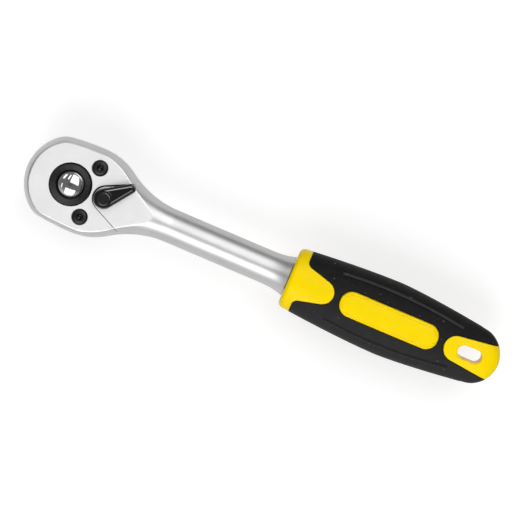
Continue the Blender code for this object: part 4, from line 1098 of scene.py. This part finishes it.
def grip_half_width(x, inset):
    along = x - GRIP_FRONT
    taper = drawn_in(along, GRIP_WIDEST, GRIP_FRONT_TAPER, GRIP_REAR_TAPER)
    width = GRIP_HALF_WIDTH - taper - roll(along, GRIP_LIP, GRIP_LIP) - inset
    past = x - GRIP_END_CENTRE
    if past > 0.0:
        end = sqrt(max((GRIP_END_RADIUS - inset) ** 2 - past * past, 0.0))
        width = smooth_min(width, end, GRIP_END_BLEND)
    return width


def grip_half_height(x, inset):
    along = x - GRIP_FRONT
    thinning = drawn_in(along, GRIP_THICKEST, GRIP_FRONT_THINNING, GRIP_REAR_THINNING)
    height = GRIP_HALF_HEIGHT - thinning - roll(along, GRIP_LIP, GRIP_LIP) - inset
    past = max((x - GRIP_END_CENTRE) / (GRIP_END_RADIUS - inset), 0.0)
    return height * max(1.0 - past ** GRIP_END_SQUARENESS, 0.0) ** (1.0 / GRIP_END_SQUARENESS)


def grip_rise(x, y, lift):
    """Height of the grip's skin above the mid plane, with none outside its outline."""
    x = min(max(x, GRIP_FRONT + FIT), GRIP_END - FIT)
    across = abs(y) / max(grip_half_width(x, -lift), FIT)
    return grip_half_height(x, -lift) * max(1.0 - across ** GRIP_SQUARENESS, 0.0) ** (1 / GRIP_SQUARENESS)


def grip_form(name, inset, points, step, start=0.0):
    """The grip's outside, or a skin set in from it."""
    span = GRIP_END_CENTRE - GRIP_FRONT
    lip = [GRIP_LIP * (1 - cos(radians(a))) for a in range(0, 91, 10)]
    steps = int((span - GRIP_LIP) / step)
    middle = evenly(GRIP_LIP, span, steps)[1:]
    reach = GRIP_END_RADIUS - inset
    end = [span + reach * sin(radians(a)) for a in range(3, 90, 5)]
    rings = []
    for along in [start] + [s for s in lip + middle + end if s > start + FIT]:
        x = GRIP_FRONT + along
        width = grip_half_width(x, inset)
        height = grip_half_height(x, inset)
        ring = []
        for i in range(points):
            angle = 2 * pi * (i + 0.5) / points
            c = cos(angle)
            s = sin(angle)
            y = width * copysign(abs(c) ** (2 / GRIP_SQUARENESS), c)
            z = height * copysign(abs(s) ** (2 / GRIP_SQUARENESS), s)
            ring.append((x, y, MID_HEIGHT + z))
        rings.append(ring)
    return skin(name, rings)


def collar_window(grow):
    """The front collar and its tongue, seen from above."""
    tip_x = TONGUE_TIP - TONGUE_TIP_RADIUS
    radius = TONGUE_TIP_RADIUS + grow
    edge = GRIP_FRONT + COLLAR_LENGTH + grow
    fillet = TONGUE_ROOT_FILLET - grow
    touch_x = tip_x + radius * sin(TONGUE_TAPER)
    touch_y = radius * cos(TONGUE_TAPER)
    root_x = edge + fillet
    root_y = touch_y + (touch_x - root_x) * tan(TONGUE_TAPER) + fillet / cos(TONGUE_TAPER)
    wide = 2 * GRIP_HALF_WIDTH
    front = GRIP_FRONT - wide
    tip = arc(tip_x, 0.0, radius, 0.0, pi / 2 - TONGUE_TAPER)
    root = arc(root_x, root_y, fillet, 1.5 * pi - TONGUE_TAPER, pi)
    side = run(root[-1], (edge, GRIP_HALF_WIDTH), steps=20)
    return mirrored(tip + run(tip[-1], root[0], steps=10) + root + side + [(edge, wide), (front, wide)])


def panel_window(grow):
    start = TONGUE_TIP + BRIDGE_WIDTH - grow
    end = END_TONGUE_TIP - BRIDGE_WIDTH + grow
    half = PANEL_HALF_WIDTH + grow
    corner = PANEL_CORNER + grow
    back = arc(end - corner, half - corner, corner, 0.0, pi / 2)
    front = arc(start + corner, half - corner, corner, pi / 2, pi)
    return mirrored(back + run(back[-1], front[0], steps=30) + front)


def end_window(grow):
    """The end cap and its tongue, seen from above."""
    radius = END_TONGUE_RADIUS + grow
    tip_x = END_TONGUE_TIP + END_TONGUE_RADIUS
    tip = arc(tip_x, 0.0, radius, pi / 2 + END_TONGUE_TAPER, pi)
    far = GRIP_END + GRIP_HALF_WIDTH
    far_y = tip[0][1] + (far - tip[0][0]) * tan(END_TONGUE_TAPER)
    return mirrored([(far, far_y)] + run((far, far_y), tip[0], steps=40) + tip)


def slot_window(grow):
    radius = SLOT_WIDTH / 2 + grow
    straight = (SLOT_LENGTH - SLOT_WIDTH) / 2
    back = arc(SLOT_X + straight, 0.0, radius, 0.0, pi / 2)
    front = arc(SLOT_X - straight, 0.0, radius, pi / 2, pi)
    return mirrored(back + run(back[-1], front[0], steps=6) + front)


def window_tool(name, window, levels, lift=0.0):
    """A solid through the grip whose walls flare where they meet its skin.

    Each level is a depth, below the skin if negative, and how far the window grows there.
    """
    reach = 2 * GRIP_HALF_HEIGHT
    rings = [[(x, y, MID_HEIGHT + reach) for x, y in window(levels[-1][1])]]
    for i in range(len(levels) - 1, -1, -1):
        depth, grow = levels[i]
        rings.append([(x, y, MID_HEIGHT + max(grip_rise(x, y, lift) + depth, FIT * (i + 1)))
                      for x, y in window(grow)])
    below = [[(x, y, 2 * MID_HEIGHT - z) for x, y, z in ring] for ring in reversed(rings)]
    return skin(name, rings + below)


def grip_overmould(finish):
    sleeve = grip_form("grip_overmould", 0.0, GRIP_POINTS, GRIP_STEP)
    carve(sleeve, grip_form("hollow", SLEEVE_WALL, HIDDEN_POINTS, HIDDEN_STEP))
    for name, window in (("collar", collar_window), ("panel", panel_window), ("end", end_window)):
        carve(sleeve, window_tool(name + "_opening", window, OPENING_LEVELS))
    carve(sleeve, swept_lines("line_groove", finish, rib_paths(GROOVE_INSET), GROOVE_RADIUS))
    finished(sleeve, "root", "black_rubber", finish, "grip_sleeve")


def grip_moulding(finish):
    core = grip_form("grip_moulding", SLEEVE_WALL + CORE_GAP, HIDDEN_POINTS, HIDDEN_STEP, GRIP_LIP)
    for name, window, lift, levels in (("collar", collar_window, 0.0, FLUSH_LEVELS),
                                       ("panel", panel_window, PANEL_RISE, PILLOW_LEVELS),
                                       ("end", end_window, 0.0, FLUSH_LEVELS)):
        face = grip_form(name + "_face", -lift, GRIP_POINTS, FACE_STEP)
        carve(face, window_tool(name + "_window", window, levels, lift), "INTERSECT")
        carve(core, face, "UNION")
    half = Vector((0.0, TANG_HALF_WIDTH + SOCKET_GAP, TANG_HALF_HEIGHT + SOCKET_GAP))
    low = Vector((NECK_END - TANG_ROOT, 0.0, MID_HEIGHT)) - half
    high = Vector((TANG_END + SOCKET_GAP, 0.0, MID_HEIGHT)) + half
    carve(core, block("tang_socket", low, high))
    carve(core, window_tool("hanging_slot", slot_window, SLOT_LEVELS))
    carve(core, swept_lines("panel_line", finish, panel_line_paths(), PANEL_LINE_RADIUS))
    finished(core, "root", "yellow_plastic", finish, "grip_core")


def rib_paths(inset):
    """Four lines that bow outwards with the grip, set in towards its middle."""
    paths = []
    for side, face in ((1, 1), (1, -1), (-1, 1), (-1, -1)):
        path = []
        for share in evenly(0.0, 1.0, LINE_STEPS):
            x = GRIP_FRONT + RIB_FRONT + (RIB_BACK - RIB_FRONT) * share
            y = RIB_SPREAD - inset - RIB_BOW * (2 * (share - RIB_WIDEST_SHARE)) ** 2
            path.append((x, side * y, MID_HEIGHT + face * grip_rise(x, y, 0.0)))
        paths.append(path)
    return paths


def panel_line_paths():
    """A closed line inside the panel's edge, on each face of the grip."""
    paths = []
    for face in (1, -1):
        path = [(x, y, MID_HEIGHT + face * (grip_rise(x, y, PANEL_RISE) + PANEL_LINE_LIFT))
                for x, y in panel_window(-PANEL_LINE_INSET)]
        paths.append(path + path[:1])
    return paths


def swept_lines(name, finish, paths, radius):
    """Round lines swept along paths. A path that ends where it starts is closed."""
    points = []
    edges = []
    for path in paths:
        start = len(points)
        closed = path[0] == path[-1]
        points += path[:-1] if closed else path
        edges += [(i, i + 1) for i in range(start, len(points) - 1)]
        if closed:
            edges.append((len(points) - 1, start))
    mesh = bpy.data.meshes.new(name)
    mesh.from_pydata(points, edges, [])
    tree, sizes = node_tree("swept lines", "Radius")
    path = node(tree, "GeometryNodeMeshToCurve", Mesh=sizes["Geometry"])
    wire_along(tree, finish, path, sizes["Radius"], LINE_SIDES)
    lines = grown(placed(name, mesh), tree, Radius=radius)
    tidied(lines.data)
    return lines


def grip_side_lines(finish):
    lines = swept_lines("grip_side_lines", finish, rib_paths(0.0), RIB_RADIUS)
    finished(lines, "root", "black_rubber", finish)


# Stage

def world_light():
    """Softboxes each side of the handle, in a dim studio that is paler on the side away from the lever.

    The last of them takes light away: it is the dark of the camera's own place.
    """
    world = bpy.data.worlds.new("studio")
    bpy.context.scene.world = world
    world.use_nodes = True
    tree = world.node_tree
    place = tree.nodes.new("ShaderNodeTexCoord").outputs["Generated"]
    parts = axes(place)
    light = spread(parts["Y"], STUDIO_PALE, STUDIO_DIM, STUDIO_PALE_END, STUDIO_DIM_START)
    upward = spread(parts["Z"], 0.0, 1.0, *HORIZON)
    for x_low, x_high, y_low, y_high, soft, level in SOFTBOXES:
        sides = []
        for direction, low, high in (("X", x_low, x_high), ("Y", y_low, y_high)):
            sides.append(spread(parts[direction], 0.0, 1.0, low, low + soft))
            sides.append(spread(parts[direction], 1.0, 0.0, high - soft, high))
        light = plus(light, times(upward, *sides, level))
    plug(tree.nodes["Background"], Color=(1.0, 1.0, 1.0, 1.0), Strength=light)


def floor():
    """A pale floor that shows white away from the object and keeps its shadow."""
    mesh = bpy.data.meshes.new("floor")
    z = CAD_LOW.z - FLOOR_GAP
    corners = ((-1, -1), (1, -1), (1, 1), (-1, 1))
    mesh.from_pydata([(x * FLOOR_REACH, y * FLOOR_REACH, z) for x, y in corners], [], [(0, 1, 2, 3)])
    made = bpy.data.materials.new("floor")
    made.use_nodes = True
    tree = made.node_tree
    tree.nodes.remove(tree.nodes["Principled BSDF"])
    paint = node(tree, "ShaderNodeBsdfDiffuse", Color=(FLOOR_PAINT, FLOOR_PAINT, FLOOR_PAINT, 1.0))
    seen = tree.nodes.new("ShaderNodeLightPath").outputs
    reflected = combined("MAXIMUM", seen["Is Glossy Ray"], seen["Is Transmission Ray"])
    glow = node(tree, "ShaderNodeEmission", Strength=0.0).outputs[0]
    for ray, strength in ((reflected, FLOOR_MIRRORED), (seen["Is Camera Ray"], FLOOR_SEEN)):
        lit = node(tree, "ShaderNodeEmission", Strength=strength).outputs[0]
        either = tree.nodes.new("ShaderNodeMixShader")
        for socket, source in zip(either.inputs, (ray, glow, lit)):
            tree.links.new(source, socket)
        glow = either.outputs[0]
    both = tree.nodes.new("ShaderNodeAddShader")
    tree.links.new(paint.outputs[0], both.inputs[0])
    tree.links.new(glow, both.inputs[1])
    tree.links.new(both.outputs[0], tree.nodes["Material Output"].inputs["Surface"])
    mesh.materials.append(made)
    obj = placed("floor", mesh)


def camera():
    """Nearly straight down on the flats, turned so that the handle runs to the lower right."""
    back = Vector((0.0, sin(VIEW_TILT), cos(VIEW_TILT)))
    up = Vector((-sin(VIEW_TURN), cos(VIEW_TURN), 0.0))
    right = up.cross(back).normalized()
    up = back.cross(right)
    data = bpy.data.cameras.new("camera")
    data.lens = LENS
    data.sensor_width = SENSOR_WIDTH
    obj = placed("camera", data)
    away = FRAME_WIDTH * LENS / SENSOR_WIDTH
    facing = Matrix((right, up, back)).transposed().to_4x4()
    obj.matrix_world = Matrix.Translation(AIM + back * away) @ facing
    bpy.context.scene.camera = obj


SATIN = satin_chrome()
POLISHED = clouded("polished_chrome", metallic=1.0, dark=(0.60, 0.60, 0.61), pale=(0.66, 0.66, 0.66),
                   patches=(300.0,), grain=(1500.0, 4.0), smooth=0.03, rough=0.07, bump=0.02)
BLACK = black_oxide("black_lever", smooth=0.05, rough=0.10, gloss=0.8)
POST = black_oxide("black_post", smooth=0.16, rough=0.24, gloss=0.5)
SCREW = black_oxide("black_screw", smooth=0.28, rough=0.38, gloss=0.27,
                    oily=SCREW_HIGH.z - SCREW_SOCKET_DEPTH / 2)
TURNED = turned_black()
STEEL = clouded("oiled_steel", metallic=1.0, dark=(0.36, 0.36, 0.37), pale=(0.50, 0.50, 0.51),
                patches=(500.0,), grain=(4000.0, 2.0), smooth=0.28, rough=0.42, bump=0.05)
BLUED = clouded("blued_steel", metallic=1.0, dark=(0.008, 0.008, 0.010), pale=(0.020, 0.021, 0.024),
                patches=(700.0,), grain=(4000.0, 2.0), smooth=0.30, rough=0.45, bump=0.05)
YELLOW = clouded("yellow_plastic", metallic=0.0, dark=(0.93, 0.67, 0.0), pale=(0.985, 0.72, 0.0),
                 patches=(60.0, 4.0, 0.7), grain=(1800.0, 2.0), smooth=0.22, rough=0.32, bump=0.10,
                 depth=0.00003, Specular_IOR_Level=0.10)
# Both rubbers are painted lighter on the side away from the lever, as side light
RUBBER = black_rubber("black_rubber", painted_shade_tone=0.003, painted_lit_tone=0.016, smooth=0.60, rough=0.76,
                      grain_strength=0.35, gloss=0.22)
LINE = black_rubber("smooth_rubber", painted_shade_tone=0.008, painted_lit_tone=0.016, smooth=0.36, rough=0.46,
                    grain_strength=0.10, gloss=0.30, dull=0.32)

head_and_neck(SATIN)
head_cover(SATIN)
cover_screws(SCREW)
drive(TURNED)
release_dome(POLISHED)
locking_ball(POLISHED)
springs(BLUED)
reversing_lever(BLACK)
lever_post(POST)
grip_overmould(RUBBER)
grip_moulding(YELLOW)
grip_side_lines(LINE)
for node_name in ("pawl", "detent_plunger", "plunger_spring"):
    kept = frame["nodes"][node_name]
    kept.data.materials.clear()
    kept.data.materials.append(STEEL)

world_light()
floor()
camera()
bpy.context.scene.view_settings.view_transform = "Standard"
